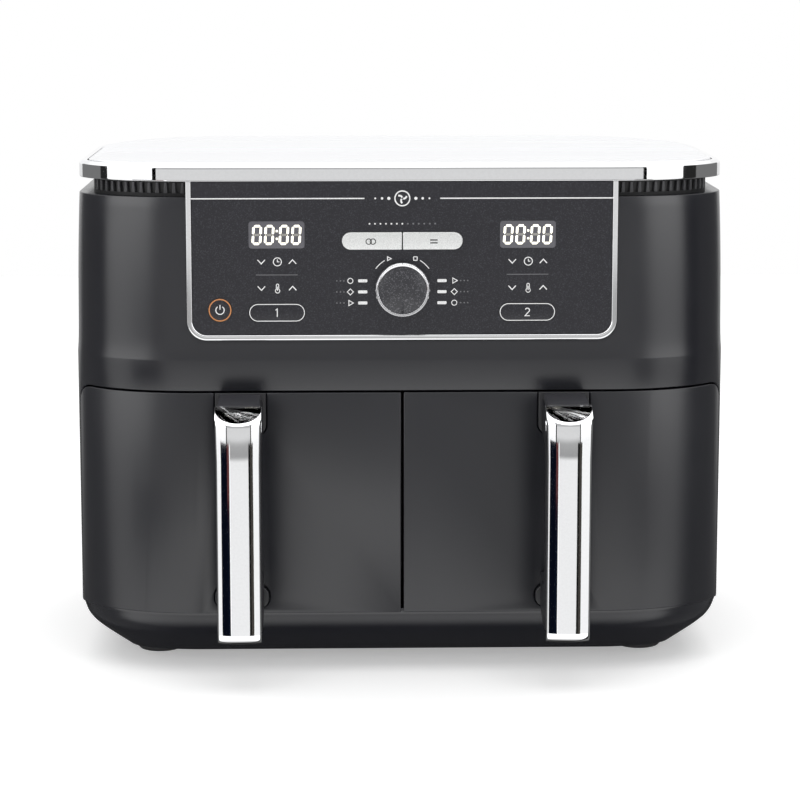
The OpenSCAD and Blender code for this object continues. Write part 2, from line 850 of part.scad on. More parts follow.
module crisper_plate(n) {
  color([0.2, 0.2, 0.21])
  left_or_right(n)
  translate([-mid_x, basket_y + basket_d / 2, 0])
  difference() {
    slab(rounded_pts(plate_w, plate_d, 26, 5), plate_z, plate_z + 3);
    slab(rounded_pts(plate_w - 3, plate_d - 3, 24.5, 5), plate_z - 1, plate_z + 1.4);
    for (i = [0 : 4])
      for (j = [0 : 8])
        translate([(i - 2) * 29, (j - 4) * 19, 0])
          slab(rounded_pts(20, 6, 2, 1), plate_z, plate_z + 4);
  }
}

module plate_bumpers(n) {
  color([0.25, 0.25, 0.26])
  left_or_right(n)
  translate([-mid_x, basket_y + basket_d / 2, 0])
    for (p = [[-1, -1], [1, -1], [-1, 1], [1, 1]])
      translate([p[0] * (plate_w / 2 - 13.5), p[1] * (plate_d / 2 - 13.5), basket_z + 1.4])
        cylinder(r = 5, h = 8, $fn = 24);
}

base_tray();
feet();
outer_shell();
rear_cover();
vent_collar();
lid_panel();
lid_trim();
front_frame();
panel_trim();
control_panel();
display_lens(1);  // display_lens_1
display_lens(2);  // display_lens_2
display_modules();
control_board();
power_board();
chamber(1);  // chamber_1
chamber(2);  // chamber_2
heater(1);  // heater_1
heater(2);  // heater_2
fan_motor(1);  // fan_motor_1
fan_motor(2);  // fan_motor_2
temperature_sensors();
drawer_switches();
cord_gland();
rear_spacers();
housing_screws();
encoder_body();
encoder_plunger();
dial_shaft();
dial_knob();
dial_ring();
sync_button();
match_button();
zone_button(1);  // zone_button_1
zone_button(2);  // zone_button_2
power_button();
fan_shaft(1);  // fan_shaft_1
fan_shaft(2);  // fan_shaft_2
convection_fan(1);  // convection_fan_1
convection_fan(2);  // convection_fan_2
cooling_fan(1);  // cooling_fan_1
cooling_fan(2);  // cooling_fan_2
drawer_front(1);  // drawer_front_1
drawer_front(2);  // drawer_front_2
basket(1);  // basket_1
basket(2);  // basket_2
handle_body(1);  // handle_body_1
handle_body(2);  // handle_body_2
handle_trim(1);  // handle_trim_1
handle_trim(2);  // handle_trim_2
handle_cap(1);  // handle_cap_1
handle_cap(2);  // handle_cap_2
drawer_gasket(1);  // drawer_gasket_1
drawer_gasket(2);  // drawer_gasket_2
drawer_screws(1);  // drawer_screws_1
drawer_screws(2);  // drawer_screws_2
crisper_plate(1);  // crisper_plate_1
crisper_plate(2);  // crisper_plate_2
plate_bumpers(1);  // plate_bumpers_1
plate_bumpers(2);  // plate_bumpers_2
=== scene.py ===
"""Looks of a dual-drawer countertop air fryer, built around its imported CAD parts.

Outlines are worked out in millimetres from the CAD nodes' boxes and become metres when a
mesh is made. X is to the right, the front faces -Y and Z is up.
"""

import math

import bmesh
import bpy
from mathutils import Matrix, Vector


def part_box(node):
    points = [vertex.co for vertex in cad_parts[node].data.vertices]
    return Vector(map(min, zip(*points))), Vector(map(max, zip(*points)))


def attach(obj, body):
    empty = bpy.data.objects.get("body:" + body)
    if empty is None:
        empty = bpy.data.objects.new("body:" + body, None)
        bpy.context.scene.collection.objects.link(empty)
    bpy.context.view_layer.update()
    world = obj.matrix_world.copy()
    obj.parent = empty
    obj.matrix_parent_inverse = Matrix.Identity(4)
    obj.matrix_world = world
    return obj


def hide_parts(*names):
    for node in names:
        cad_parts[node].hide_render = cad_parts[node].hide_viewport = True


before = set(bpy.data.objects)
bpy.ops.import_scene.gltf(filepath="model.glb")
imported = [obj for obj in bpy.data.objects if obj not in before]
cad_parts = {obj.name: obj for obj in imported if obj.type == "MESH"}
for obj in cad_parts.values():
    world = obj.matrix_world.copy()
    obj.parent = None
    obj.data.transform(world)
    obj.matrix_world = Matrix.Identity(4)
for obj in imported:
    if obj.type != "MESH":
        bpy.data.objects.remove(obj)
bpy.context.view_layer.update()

MM = 0.001
SIDES = ((1, -1), (2, 1))


class Span:
    """A CAD node's box in millimetres."""

    def __init__(self, node):
        lo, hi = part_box(node)
        self.x0, self.y0, self.z0 = (v / MM for v in lo)
        self.x1, self.y1, self.z1 = (v / MM for v in hi)
        self.x = (self.x0 + self.x1) / 2
        self.y = (self.y0 + self.y1) / 2
        self.z = (self.z0 + self.z1) / 2
        self.w = self.x1 - self.x0
        self.h = self.z1 - self.z0


# ---------------------------------------------------------------- outlines

def arc(cx, cy, rx, ry, a0, a1, n=20):
    """Points along an elliptical arc, angles in degrees."""
    turn = [math.radians(a0 + (a1 - a0) * i / n) for i in range(n + 1)]
    return [(cx + rx * math.cos(a), cy + ry * math.sin(a)) for a in turn]


def plan(w, y0, y1, front, rear):
    """Plan outline with a pair of front and a pair of rear elliptical corners."""
    (fx, fd), (rx, rd) = front, rear
    return (
        arc(w - fx, y0 + fd, fx, fd, 270, 360)
        + arc(w - rx, y1 - rd, rx, rd, 0, 90)
        + arc(-w + rx, y1 - rd, rx, rd, 90, 180)
        + arc(-w + fx, y0 + fd, fx, fd, 180, 270)
    )


def rounded(w, h, r, n=8, cx=0.0, cy=0.0):
    """Rectangle with rounded corners."""
    a, b = w / 2 - r, h / 2 - r
    return (
        arc(cx + a, cy + b, r, r, 0, 90, n)
        + arc(cx - a, cy + b, r, r, 90, 180, n)
        + arc(cx - a, cy - b, r, r, 180, 270, n)
        + arc(cx + a, cy - b, r, r, 270, 360, n)
    )


def filleted(points, radius, n=6):
    """Closed outline with each corner rounded. radius is one number or one per corner."""
    radii = radius if hasattr(radius, "__len__") else [radius] * len(points)
    out = []
    for i, p in enumerate(points):
        p = Vector(p)
        a = (Vector(points[i - 1]) - p)
        b = (Vector(points[(i + 1) % len(points)]) - p)
        half = a.angle(b) / 2
        cut = min(radii[i] / math.tan(half), a.length * 0.48, b.length * 0.48)
        if radii[i] <= 0 or half > math.radians(88):
            out.append(tuple(p))
            continue
        start, end = p + a.normalized() * cut, p + b.normalized() * cut
        for k in range(n + 1):
            t = k / n
            q = start * (1 - t) ** 2 + p * (2 * t * (1 - t)) + end * t ** 2
            out.append(tuple(q))
    return out


def smooth_curve(points, steps=8):
    """Open curve through every point (Catmull-Rom)."""
    pts = [Vector(p) for p in points]
    pts = [2 * pts[0] - pts[1]] + pts + [2 * pts[-1] - pts[-2]]
    out = []
    for i in range(1, len(pts) - 2):
        a, b, c, d = pts[i - 1:i + 3]
        for k in range(steps):
            t = k / steps
            out.append(0.5 * (2 * b + (c - a) * t + (2 * a - 5 * b + 4 * c - d) * t ** 2
                              + (3 * b - a - 3 * c + d) * t ** 3))
    return [tuple(p) for p in out] + [tuple(pts[-2])]


# ---------------------------------------------------------------- solids
# A solid is (points, faces) in millimetres. Several can be joined into one mesh.

def loft(rings, closed=False):
    """Skin through rings of equal length, with end caps unless it closes on itself."""
    n = len(rings[0])
    points = [p for ring in rings for p in ring]
    faces = []
    for r in range(len(rings) if closed else len(rings) - 1):
        a, b = r * n, ((r + 1) % len(rings)) * n
        faces += [(a + i, a + (i + 1) % n, b + (i + 1) % n, b + i) for i in range(n)]
    if not closed:
        faces.append(tuple(range(n)))
        last = (len(rings) - 1) * n
        faces.append(tuple(last + i for i in range(n)))
    return points, faces


def slab(outline, z0, z1):
    return loft([[(x, y, z) for x, y in outline] for z in (z0, z1)])


def along_y(outline, y0, y1):
    """Extrudes an x-z outline."""
    return loft([[(x, y, z) for x, z in outline] for y in (y0, y1)])


def along_x(outline, x0, x1):
    """Extrudes a y-z outline."""
    return loft([[(x, y, z) for y, z in outline] for x in (x0, x1)])


def block(x0, x1, y0, y1, z0, z1):
    return slab([(x0, y0), (x1, y0), (x1, y1), (x0, y1)], z0, z1)


def lathe(profile, centre, axis="Z", n=48):
    """Turns a closed (radius, height) profile about an axis. Height runs along +Z or -Y."""
    rings = []
    for i in range(n):
        a = 2 * math.pi * i / n
        ring = []
        for r, h in profile:
            x, y, z = r * math.cos(a), r * math.sin(a), h
            if axis == "-Y":
                x, y, z = x, -z, y
            if axis == "+Y":
                x, y, z = x, z, -y
            ring.append((centre[0] + x, centre[1] + y, centre[2] + z))
        rings.append(ring)
    return loft(rings, closed=True)


def join(solids):
    points, faces = [], []
    for p, f in solids:
        base = len(points)
        points += p
        faces += [tuple(base + i for i in face) for face in f]
    return points, faces


def moved(solid, matrix):
    """The solid after a matrix whose lengths are in millimetres."""
    return [tuple(matrix @ Vector(p)) for p in solid[0]], solid[1]


def line(points, width, y0, y1, closed=False):
    """Raised line along x-z points, with mitred corners."""
    pts = [Vector(p) for p in points]
    n = len(pts)
    rings = []
    for i, p in enumerate(pts):
        before = (p - pts[i - 1]).normalized() if closed or i else None
        after = (pts[(i + 1) % n] - p).normalized() if closed or i < n - 1 else None
        d1, d2 = before or after, after or before
        t = (d1 + d2).normalized()
        side = Vector((-t.y, t.x))
        reach = width / 2 / max(0.5, side.dot(Vector((-d1.y, d1.x))))
        a, b = p + side * reach, p - side * reach
        rings.append([(a.x, y0, a.y), (b.x, y0, b.y), (b.x, y1, b.y), (a.x, y1, a.y)])
    return loft(rings, closed)


# ---------------------------------------------------------------- meshes

def make(name, solid):
    mesh = bpy.data.meshes.new(name)
    mesh.from_pydata([[v * MM for v in p] for p in solid[0]], [], solid[1])
    bm = bmesh.new()
    bm.from_mesh(mesh)
    bmesh.ops.remove_doubles(bm, verts=bm.verts, dist=1e-7)
    bmesh.ops.recalc_face_normals(bm, faces=bm.faces)
    bm.to_mesh(mesh)
    bm.free()
    obj = bpy.data.objects.new(name, mesh)
    bpy.context.scene.collection.objects.link(obj)
    return obj


def baked(obj):
    """Puts the result of obj's modifiers into its mesh."""
    bpy.context.view_layer.update()
    dg = bpy.context.evaluated_depsgraph_get()
    mesh = bpy.data.meshes.new_from_object(obj.evaluated_get(dg))
    obj.modifiers.clear()
    old, obj.data = obj.data, mesh
    bpy.data.meshes.remove(old)
    return obj


def boolean(obj, operation, solid):
    tool = make("tool", solid)
    mod = obj.modifiers.new("shape", "BOOLEAN")
    mod.operation = operation
    mod.solver = "EXACT"
    mod.object = tool
    baked(obj)
    bpy.data.objects.remove(tool)
    return obj


def cut(obj, *solids):
    for s in solids:
        boolean(obj, "DIFFERENCE", s)
    return obj


def trimmed(obj, *solids):
    for s in solids:
        boolean(obj, "INTERSECT", s)
    return obj


def dress(obj, body, mat, replaced=(), bevel=0.0, angle=32, segments=3, crease=None):
    """Rounds the edges, shades, colours and mounts a finished piece."""
    bm = bmesh.new()
    bm.from_mesh(obj.data)
    bmesh.ops.remove_doubles(bm, verts=bm.verts, dist=0.02 * MM)
    bmesh.ops.dissolve_degenerate(bm, edges=bm.edges, dist=0.01 * MM)
    bmesh.ops.recalc_face_normals(bm, faces=bm.faces)
    bm.to_mesh(obj.data)
    bm.free()
    if bevel:
        mod = obj.modifiers.new("edges", "BEVEL")
        mod.width = bevel * MM
        mod.segments = segments
        mod.limit_method = "ANGLE"
        mod.angle_limit = math.radians(angle)
        mod.use_clamp_overlap = False
        mod.harden_normals = False
        mod.miter_outer = "MITER_ARC"
        baked(obj)
    obj.data.shade_smooth()
    obj.data.set_sharp_from_angle(angle=math.radians(38))
    if crease is not None:
        for e in obj.data.edges:
            heights = [obj.data.vertices[v].co.z for v in e.vertices]
            if all(abs(h - crease * MM) < 0.01 * MM for h in heights):
                e.use_edge_sharp = True
    obj.data.materials.clear()
    obj.data.materials.append(mat)
    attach(obj, body)
    if replaced:
        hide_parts(*replaced)
    return obj


# ---------------------------------------------------------------- materials

def material(name, colour, rough, metal=0.0, grain=0.0, grain_size=0.5, stretch=(1, 1, 1),
             vary=0.04, mottle=0.12, specks=None, **sockets):
    """Surface with a fine moulded or brushed grain. grain is its depth and grain_size its
    width in millimetres; specks is (colour, width in mm, share) of small flecks."""
    mat = bpy.data.materials.new(name)
    mat.use_nodes = True
    nodes, links = mat.node_tree.nodes, mat.node_tree.links
    shader = nodes["Principled BSDF"]
    shader.inputs["Metallic"].default_value = metal
    for socket, value in sockets.items():
        shader.inputs[socket.replace("_", " ")].default_value = value
    coords = nodes.new("ShaderNodeTexCoord")
    place = nodes.new("ShaderNodeMapping")
    place.inputs["Scale"].default_value = stretch
    links.new(coords.outputs["Object"], place.inputs["Vector"])

    def noise(scale, detail=2.0):
        node = nodes.new("ShaderNodeTexNoise")
        node.inputs["Scale"].default_value = scale
        node.inputs["Detail"].default_value = detail
        links.new(place.outputs["Vector"], node.inputs["Vector"])
        return node

    fine = noise(1 / (grain_size * MM))
    broad = noise(1 / (38 * MM), 3.0)
    spread = nodes.new("ShaderNodeMapRange")
    spread.inputs["From Min"].default_value = 0.3
    spread.inputs["From Max"].default_value = 0.7
    spread.inputs["To Min"].default_value = max(0.0, rough - vary)
    spread.inputs["To Max"].default_value = min(1.0, rough + vary)
    links.new(broad.outputs["Fac"], spread.inputs["Value"])
    links.new(spread.outputs["Result"], shader.inputs["Roughness"])

    ramp = nodes.new("ShaderNodeValToRGB")
    for stop, k in zip(ramp.color_ramp.elements, (1 - mottle, 1 + mottle)):
        stop.color = [min(1.0, c * k) for c in colour] + [1.0]
    ramp.color_ramp.elements[0].position = 0.35
    ramp.color_ramp.elements[1].position = 0.65
    links.new(fine.outputs["Fac"], ramp.inputs["Fac"])
    tint = ramp.outputs["Color"]
    if specks:
        fleck_colour, width, share = specks
        cells = nodes.new("ShaderNodeTexVoronoi")
        cells.inputs["Scale"].default_value = 1 / (width * MM)
        links.new(place.outputs["Vector"], cells.inputs["Vector"])
        pick = nodes.new("ShaderNodeValToRGB")
        pick.color_ramp.interpolation = "CONSTANT"
        pick.color_ramp.elements[0].color = (1, 1, 1, 1)
        pick.color_ramp.elements[1].color = (0, 0, 0, 1)
        pick.color_ramp.elements[1].position = share
        single = nodes.new("ShaderNodeSeparateColor")
        links.new(cells.outputs["Color"], single.inputs["Color"])
        links.new(single.outputs["Red"], pick.inputs["Fac"])
        blend = nodes.new("ShaderNodeMix")
        blend.data_type = "RGBA"
        links.new(pick.outputs["Color"], blend.inputs["Factor"])
        links.new(tint, blend.inputs["A"])
        blend.inputs["B"].default_value = (*fleck_colour, 1)
        tint = blend.outputs["Result"]
    links.new(tint, shader.inputs["Base Color"])
    if grain:
        bump = nodes.new("ShaderNodeBump")
        bump.inputs["Distance"].default_value = grain * MM
        bump.inputs["Strength"].default_value = 1.0
        links.new(fine.outputs["Fac"], bump.inputs["Height"])
        links.new(bump.outputs["Normal"], shader.inputs["Normal"])
    return mat


def glowing(name, colour, strength):
    """Lit segments: a grainy base that gives off light."""
    mat = material(name, colour, 0.5, grain=0.002)
    shader = mat.node_tree.nodes["Principled BSDF"]
    shader.inputs["Emission Color"].default_value = (*colour, 1)
    shader.inputs["Emission Strength"].default_value = strength
    return mat


SHELL = material("charcoal_plastic", (0.0110, 0.0114, 0.0148), 0.24, grain=0.010,
                 grain_size=0.45, vary=0.02, mottle=0.10, Specular_IOR_Level=0.7)
DRAWER = material("drawer_plastic", (0.0104, 0.0108, 0.0140), 0.32, grain=0.010,
                  grain_size=0.45, vary=0.02, mottle=0.10, Specular_IOR_Level=0.65)
BLACK = material("black_plastic", (0.008, 0.008, 0.009), 0.45, grain=0.012, grain_size=0.5)
GRILLE = material("grille_plastic", (0.050, 0.050, 0.054), 0.42, grain=0.012, grain_size=0.5)
HANDLE = material("handle_plastic", (0.012, 0.012, 0.014), 0.38, grain=0.008, grain_size=0.4)
CAP = material("cap_plastic", (0.034, 0.034, 0.039), 0.40, grain=0.008, grain_size=0.4)
# Near-black: real print on the key signs and handle figures, and painted shade on the vent rails
# under the lid and in the gap under each handle cap.
INK_AND_SHADE = material("ink_and_painted_shade", (0.004, 0.004, 0.005), 0.6, grain=0.004)
RUBBER = material("foot_rubber", (0.010, 0.010, 0.011), 0.75, grain=0.03, grain_size=0.7)
CHROME = material("bright_chrome", (0.90, 0.905, 0.915), 0.045, metal=1.0, grain=0.0004,
                  grain_size=1.5, vary=0.015, mottle=0.01)
LID = material("pale_steel", (0.88, 0.885, 0.90), 0.27, metal=1.0, grain=0.002,
               grain_size=0.35, stretch=(0.03, 1, 1), vary=0.03, mottle=0.03)
FILM = material("panel_film", (0.0112, 0.0110, 0.0152), 0.32, grain=0.004, grain_size=0.4,
                mottle=0.30, vary=0.02, specks=((0.034, 0.034, 0.042), 0.45, 0.16))
WINDOW = material("display_window", (0.110, 0.108, 0.122), 0.16, grain=0.0006, mottle=0.03)
WHITE = material("white_print", (0.78, 0.78, 0.78), 0.45, grain=0.002)
GREY_PRINT = material("grey_print", (0.16, 0.16, 0.17), 0.45, grain=0.002)
COPPER = material("copper_print", (0.55, 0.23, 0.085), 0.35, grain=0.002)
DIGITS = glowing("lit_digits", (1.0, 0.95, 0.80), 1.1)
DIM = material("unlit_segment", (0.30, 0.29, 0.27), 0.4, grain=0.001)
PILL = material("silver_key", (0.80, 0.81, 0.80), 0.30, metal=0.5, grain=0.003, vary=0.03)
DIAL = material("dial_face", (0.028, 0.028, 0.033), 0.34, grain=0.012, grain_size=0.35,
                mottle=0.35, specks=((0.10, 0.10, 0.11), 0.5, 0.14))
DIAL_RING = material("dial_chrome", (0.80, 0.80, 0.82), 0.12, metal=1.0, grain=0.001)
COATING = material("basket_coating", (0.018, 0.018, 0.019), 0.42, grain=0.02, grain_size=0.9,
                   specks=((0.05, 0.05, 0.05), 0.8, 0.08))
SILICONE = material("silicone", (0.06, 0.06, 0.062), 0.6, grain=0.01)
SHEET = material("chamber_steel", (0.55, 0.55, 0.56), 0.30, metal=1.0, grain=0.003,
                 grain_size=0.4, stretch=(1, 1, 0.05), mottle=0.06)
ALLOY = material("heater_alloy", (0.16, 0.15, 0.14), 0.42, metal=1.0, grain=0.01)
MOTOR = material("motor_steel", (0.42, 0.43, 0.45), 0.36, metal=1.0, grain=0.006)
FAN_METAL = material("fan_aluminium", (0.66, 0.67, 0.69), 0.30, metal=1.0, grain=0.004)
SHAFT = material("shaft_steel", (0.60, 0.61, 0.63), 0.20, metal=1.0, grain=0.002,
                 stretch=(1, 1, 0.1))
BOARD = material("board_green", (0.020, 0.080, 0.035), 0.38, grain=0.006,
                 specks=((0.30, 0.22, 0.08), 1.4, 0.07))
BOARD_WHITE = material("display_module", (0.62, 0.61, 0.57), 0.5, grain=0.006)

CAD_LOOKS = {
    "front_frame": BLACK, "display_modules": BOARD_WHITE, "control_board": BOARD,
    "power_board": BOARD, "temperature_sensors": SHAFT, "drawer_switches": BLACK,
    "housing_screws": SHAFT, "encoder_body": MOTOR, "encoder_plunger": SHAFT,
    "dial_shaft": SHAFT, "control_panel": FILM,
}
for side, _ in SIDES:
    CAD_LOOKS.update({
        f"chamber_{side}": SHEET, f"heater_{side}": ALLOY, f"fan_motor_{side}": MOTOR,
        f"fan_shaft_{side}": SHAFT, f"convection_fan_{side}": FAN_METAL,
        f"cooling_fan_{side}": BLACK, f"drawer_gasket_{side}": SILICONE,
        f"drawer_screws_{side}": SHAFT, f"crisper_plate_{side}": COATING,
        f"plate_bumpers_{side}": SILICONE, f"basket_{side}": COATING,
    })


def dress_cad():
    """Carried-over CAD nodes: smooth shading with sharp edges kept by angle, and their own
    material.
    """
    for name, mat in CAD_LOOKS.items():
        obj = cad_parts[name]
        obj.data.shade_smooth()
        obj.data.set_sharp_from_angle(angle=math.radians(30))
        obj.data.materials.clear()
        obj.data.materials.append(mat)


# ---------------------------------------------------------------- housing

shell = Span("outer_shell")
tray = Span("base_tray")
trim = Span("lid_trim")
lid = Span("lid_panel")
collar = Span("vent_collar")
cover = Span("rear_cover")
gland = Span("cord_gland")
spacers = Span("rear_spacers")
drawer = Span("drawer_front_1")
bezel = Span("panel_trim")
film = Span("control_panel")

FRONT_CORNER = (80, 50)
REAR_CORNER = (50, 60)
LID_FRONT = (78, 49)
LID_REAR = (95, 110)
HALF_W = shell.x1
FRONT_Y = shell.y0
BACK_Y = cover.y0
CREASE_Z = drawer.z1 + 20.6
LEAN = 2.7
WALL = 2.6
SEAM = 1.2
SEAM_Y = drawer.y1 + 0.6


def body_plan(d, lean=0.0):
    """Housing outline shrunk by d all round and by lean at the front and sides."""
    return plan(HALF_W - d - lean, FRONT_Y + d + lean, BACK_Y - d,
                [v - d for v in FRONT_CORNER], [v - d for v in REAR_CORNER])


def lid_plan(d):
    return plan(trim.x1 - d, trim.y0 + d, trim.y1 - d,
                [v - d for v in LID_FRONT], [v - d for v in LID_REAR])


def ring(outline, z):
    return [(x, y, z) for x, y in outline]


def lean_at(t):
    """Share of the lean reached at height t (0 crease, 1 top): quick over the crease, easy
    over the middle and quicker again towards the lid."""
    return 0.22 * (1 - (1 - t) ** 15) + 0.22 * t + 0.56 * t ** 2.6


def build_shell():
    steps = [i / 6 * 0.3 for i in range(1, 6)] + [0.3 + i / 10 * 0.7 for i in range(11)]
    height = shell.z1 - CREASE_Z
    rings = [ring(body_plan(0), shell.z0), ring(body_plan(0), CREASE_Z)]
    rings += [ring(body_plan(0, LEAN * lean_at(t)), CREASE_Z + t * height) for t in steps]
    obj = make("housing_shell", loft(rings))
    inner = [ring(body_plan(WALL), shell.z0 - 1), ring(body_plan(WALL), CREASE_Z),
             ring(body_plan(WALL, LEAN), shell.z1 - WALL)]
    opening = [(FRONT_Y - 2, -1), (SEAM_Y + 0.6, -1)]
    r = 15.2
    opening += arc(SEAM_Y + 0.6 - r, drawer.z1 + SEAM - r, r, r, 0, 90, 12)
    opening += [(FRONT_Y - 2, drawer.z1 + SEAM)]
    pocket = bottom_rounded(bezel.w + 0.3, bezel.z0 - 0.15, shell.z1 + 20, 12.6)
    cut(obj, loft(inner), slab(lid_plan(14), shell.z1 - 8, shell.z1 + 1),
        along_x(opening, -HALF_W - 1, HALF_W + 1),
        along_y(pocket, FRONT_Y - 4, FRONT_Y + 7.8),
        block(-132, 132, BACK_Y - WALL - 1, BACK_Y + 1, 56, 284))
    shelf = slab(body_plan(WALL - 0.5), drawer.z1 + SEAM, drawer.z1 + SEAM + WALL)
    shelf_obj = trimmed(make("shelf", shelf),
                        block(-HALF_W, HALF_W, FRONT_Y, Span("chamber_1").y0, 0, 300))
    dress(shelf_obj, "housing", SHELL)
    shelf_obj.name = "housing_shelf"
    dress(obj, "housing", SHELL, ["outer_shell"], bevel=0.55,
          crease=CREASE_Z)


def bottom_rounded(w, z0, z1, r, n=10):
    """Outline with rounded lower corners and a square top."""
    return ([(w / 2, z1), (-w / 2, z1)] + arc(-w / 2 + r, z0 + r, r, r, 180, 270, n)
            + arc(w / 2 - r, z0 + r, r, r, 270, 360, n))


def build_base():
    lip = 2.8
    skirt = smooth_curve([(0.5, tray.z1 - lip), (4.6, 29.2), (13, 20.8), (32, 7)], 7)
    rings = [ring(body_plan(0.5), tray.z1)] + [ring(body_plan(d), z) for d, z in skirt]
    obj = make("base_skirt", loft(rings))
    hollow = [(8, tray.z1 - 2.6), (24, 17.8), (36, 9.6)]
    cut(obj, loft([ring(body_plan(d), z) for d, z in hollow]),
        block(-HALF_W + 10, HALF_W - 10, Span("chamber_1").y0 + 4, BACK_Y - 14,
              tray.z1 - 4, tray.z1 + 1))
    groove = [ring(body_plan(d), z) for d, z in ((1.8, tray.z1 - 3.4), (1.8, tray.z1 + 1),
                                                 (9.5, tray.z1 + 1), (9.5, tray.z1 - 3.4))]
    cut(obj, loft(groove, closed=True))
    dress(obj, "housing", SHELL, ["base_tray"], bevel=0.5)


def build_feet():
    feet = Span("feet")
    pad = 16
    profile = filleted([(0, 0), (14.4, 0), (pad, 2.4), (pad, 7), (5.5, 7), (5.5, 11.8), (0, 11.8)],
                       [0, 1.2, 1.2, 0.6, 0, 0.4, 0], 4)
    profile = [(max(r, 0.01), h) for r, h in profile]
    spots = [(-158, FRONT_Y + 67), (158, FRONT_Y + 67), (-150, BACK_Y - 57), (150, BACK_Y - 57)]
    obj = make("foot_pads", join([lathe(profile, (x, y, feet.z0)) for x, y in spots]))
    dress(obj, "housing", RUBBER, ["feet"])


def build_lid():
    plate = [(5.9, lid.z0), (5.9, lid.z1 - 0.5), (6.3, lid.z1 - 0.1), (7.9, lid.z1)]
    obj = make("lid_plate", loft([ring(lid_plan(d), z) for d, z in plate]))
    dress(obj, "housing", LID, ["lid_panel"])
    outer = filleted([(12.4, 0), (0, 0), (0, 1.1), (0, trim.h - 3.2), (0, trim.h - 1.9),
                      (1.8, trim.h), (5, trim.h), (5, trim.h - 4.4), (12.4, trim.h - 4.4)],
                     [0, 0.5, 0, 0, 0.9, 0.8, 0.35, 0, 0], 5)
    rings = [ring(lid_plan(d), trim.z0 + h) for d, h in outer]
    obj = make("lid_band", loft(rings, closed=True))
    dress(obj, "housing", CHROME, ["lid_trim"])


def build_collar():
    """Dark ring under the lid with a row of fins round each front corner and side."""
    step, thick = 5.4, 2.6
    z0, z1 = collar.z0, collar.z1
    wall = make("vent_wall", loft([ring(lid_plan(12.2), z0), ring(lid_plan(12.2), z1),
                                   ring(lid_plan(11.2), z1), ring(lid_plan(11.2), z0)],
                                  closed=True))
    dress(wall, "housing", BLACK)
    wall.name = "vent_back_wall"
    edge = lid_plan(9)
    inner = lid_plan(11.4)
    fins, run = [], 0.0
    for i in range(len(edge)):
        (x0, y0), (x1, y1) = edge[i - 1], edge[i]
        length = math.hypot(x1 - x0, y1 - y0)
        if length < 1e-6:
            continue
        while run < length:
            t = run / length
            x, y = x0 + (x1 - x0) * t, y0 + (y1 - y0) * t
            run += step
            if abs(x) < 134 and y < 0 or y > 40:
                continue
            dx, dy = (x1 - x0) / length, (y1 - y0) / length
            nx, ny = -dy, dx
            a = [(x - dx * thick / 2, y - dy * thick / 2), (x + dx * thick / 2, y + dy * thick / 2)]
            b = [(p[0] + nx * 2.6, p[1] + ny * 2.6) for p in reversed(a)]
            foot_ = filleted(a + b, 0.5, 3)
            head = [(x + (px - x) * 0.62, y + (py - y) * 0.62) for px, py in foot_]
            fins.append(loft([ring(foot_, z0 + 1.9), ring(head, z1 - 1.5)]))
        run -= length
    solid = join(fins)
    obj = make("vent_fins", solid)
    dress(obj, "housing", GRILLE)
    # The rails and the front band take the near-black ink, darker than the black wall behind the
    # fins: black plastic with painted shade from under the lid band.
    rails = []
    for low, high in ((z0, z0 + 2.0), (z1 - 1.6, z1)):
        rails.append(loft([ring(edge, low), ring(edge, high), ring(inner, high),
                           ring(inner, low)], closed=True))
    rails.append(block(-134, 134, collar.y0 + 0.3, collar.y0 + 2.6, z0, z1))
    obj = make("vent_rails", join(rails))
    dress(obj, "housing", INK_AND_SHADE, ["vent_collar"])


def build_rear():
    obj = make("rear_plate", along_y([(x, z + cover.z) for x, z in
                                      rounded(cover.w, cover.h, 8)], cover.y0, cover.y1))
    slots = []
    step = 8
    for side in (-1, 1):
        for i in range(9):
            slots.append(along_y(rounded(84, 4, 1.9, 6, side * 72, 198 + i * step),
                                 cover.y0 - 1, cover.y1 + 1))
    for i in range(5):
        slots.append(along_y(rounded(120, 4, 1.9, 6, 0, 70 + i * step), cover.y0 - 1,
                             cover.y1 + 1))
    slots.append(lathe([(0.01, -1), (8, -1), (8, 4), (0.01, 4)],
                       (gland.x, cover.y0, gland.z), "+Y"))
    cut(obj, join(slots))
    dress(obj, "housing", SHELL, ["rear_cover"], bevel=0.35)
    profile = filleted([(3.6, 0), (7.6, 0), (7.6, 8.2), (11, 8.2), (11, 10.4), (6, 12.2),
                        (3.6, 12.2)], [0, 0, 0, 0.4, 0.8, 0.8, 0.4], 4)
    obj = make("gland_bush", lathe(profile, (gland.x, gland.y0, gland.z), "+Y"))
    dress(obj, "housing", BLACK, ["cord_gland"])
    deep = spacers.y1 - cover.y1
    profile = filleted([(0.01, -2), (4.6, -2), (4.6, 0.02), (11, 0.02), (11, deep), (0.01, deep)],
                       [0, 0, 0, 0.4, 1.6, 0], 5)
    spots = [(side * (spacers.x1 - 11), cover.y1, spacers.z) for side in (-1, 1)]
    obj = make("spacer_pads", join([lathe(profile, p, "+Y") for p in spots]))
    dress(obj, "housing", BLACK, ["rear_spacers"])


# ---------------------------------------------------------------- panel and controls

FACE_Y = film.y0
PRINT = 0.12


def printed(name, solids, mat=WHITE, body="housing"):
    return dress(make(name, join(solids)), body, mat)


def on_panel(points, width, closed=False, face=None):
    face = FACE_Y if face is None else face
    return line(points, width, face - PRINT, face + 0.02, closed)


def circle(cx, cz, r, n=40):
    return arc(cx, cz, r, r, 0, 360, n)[:-1]


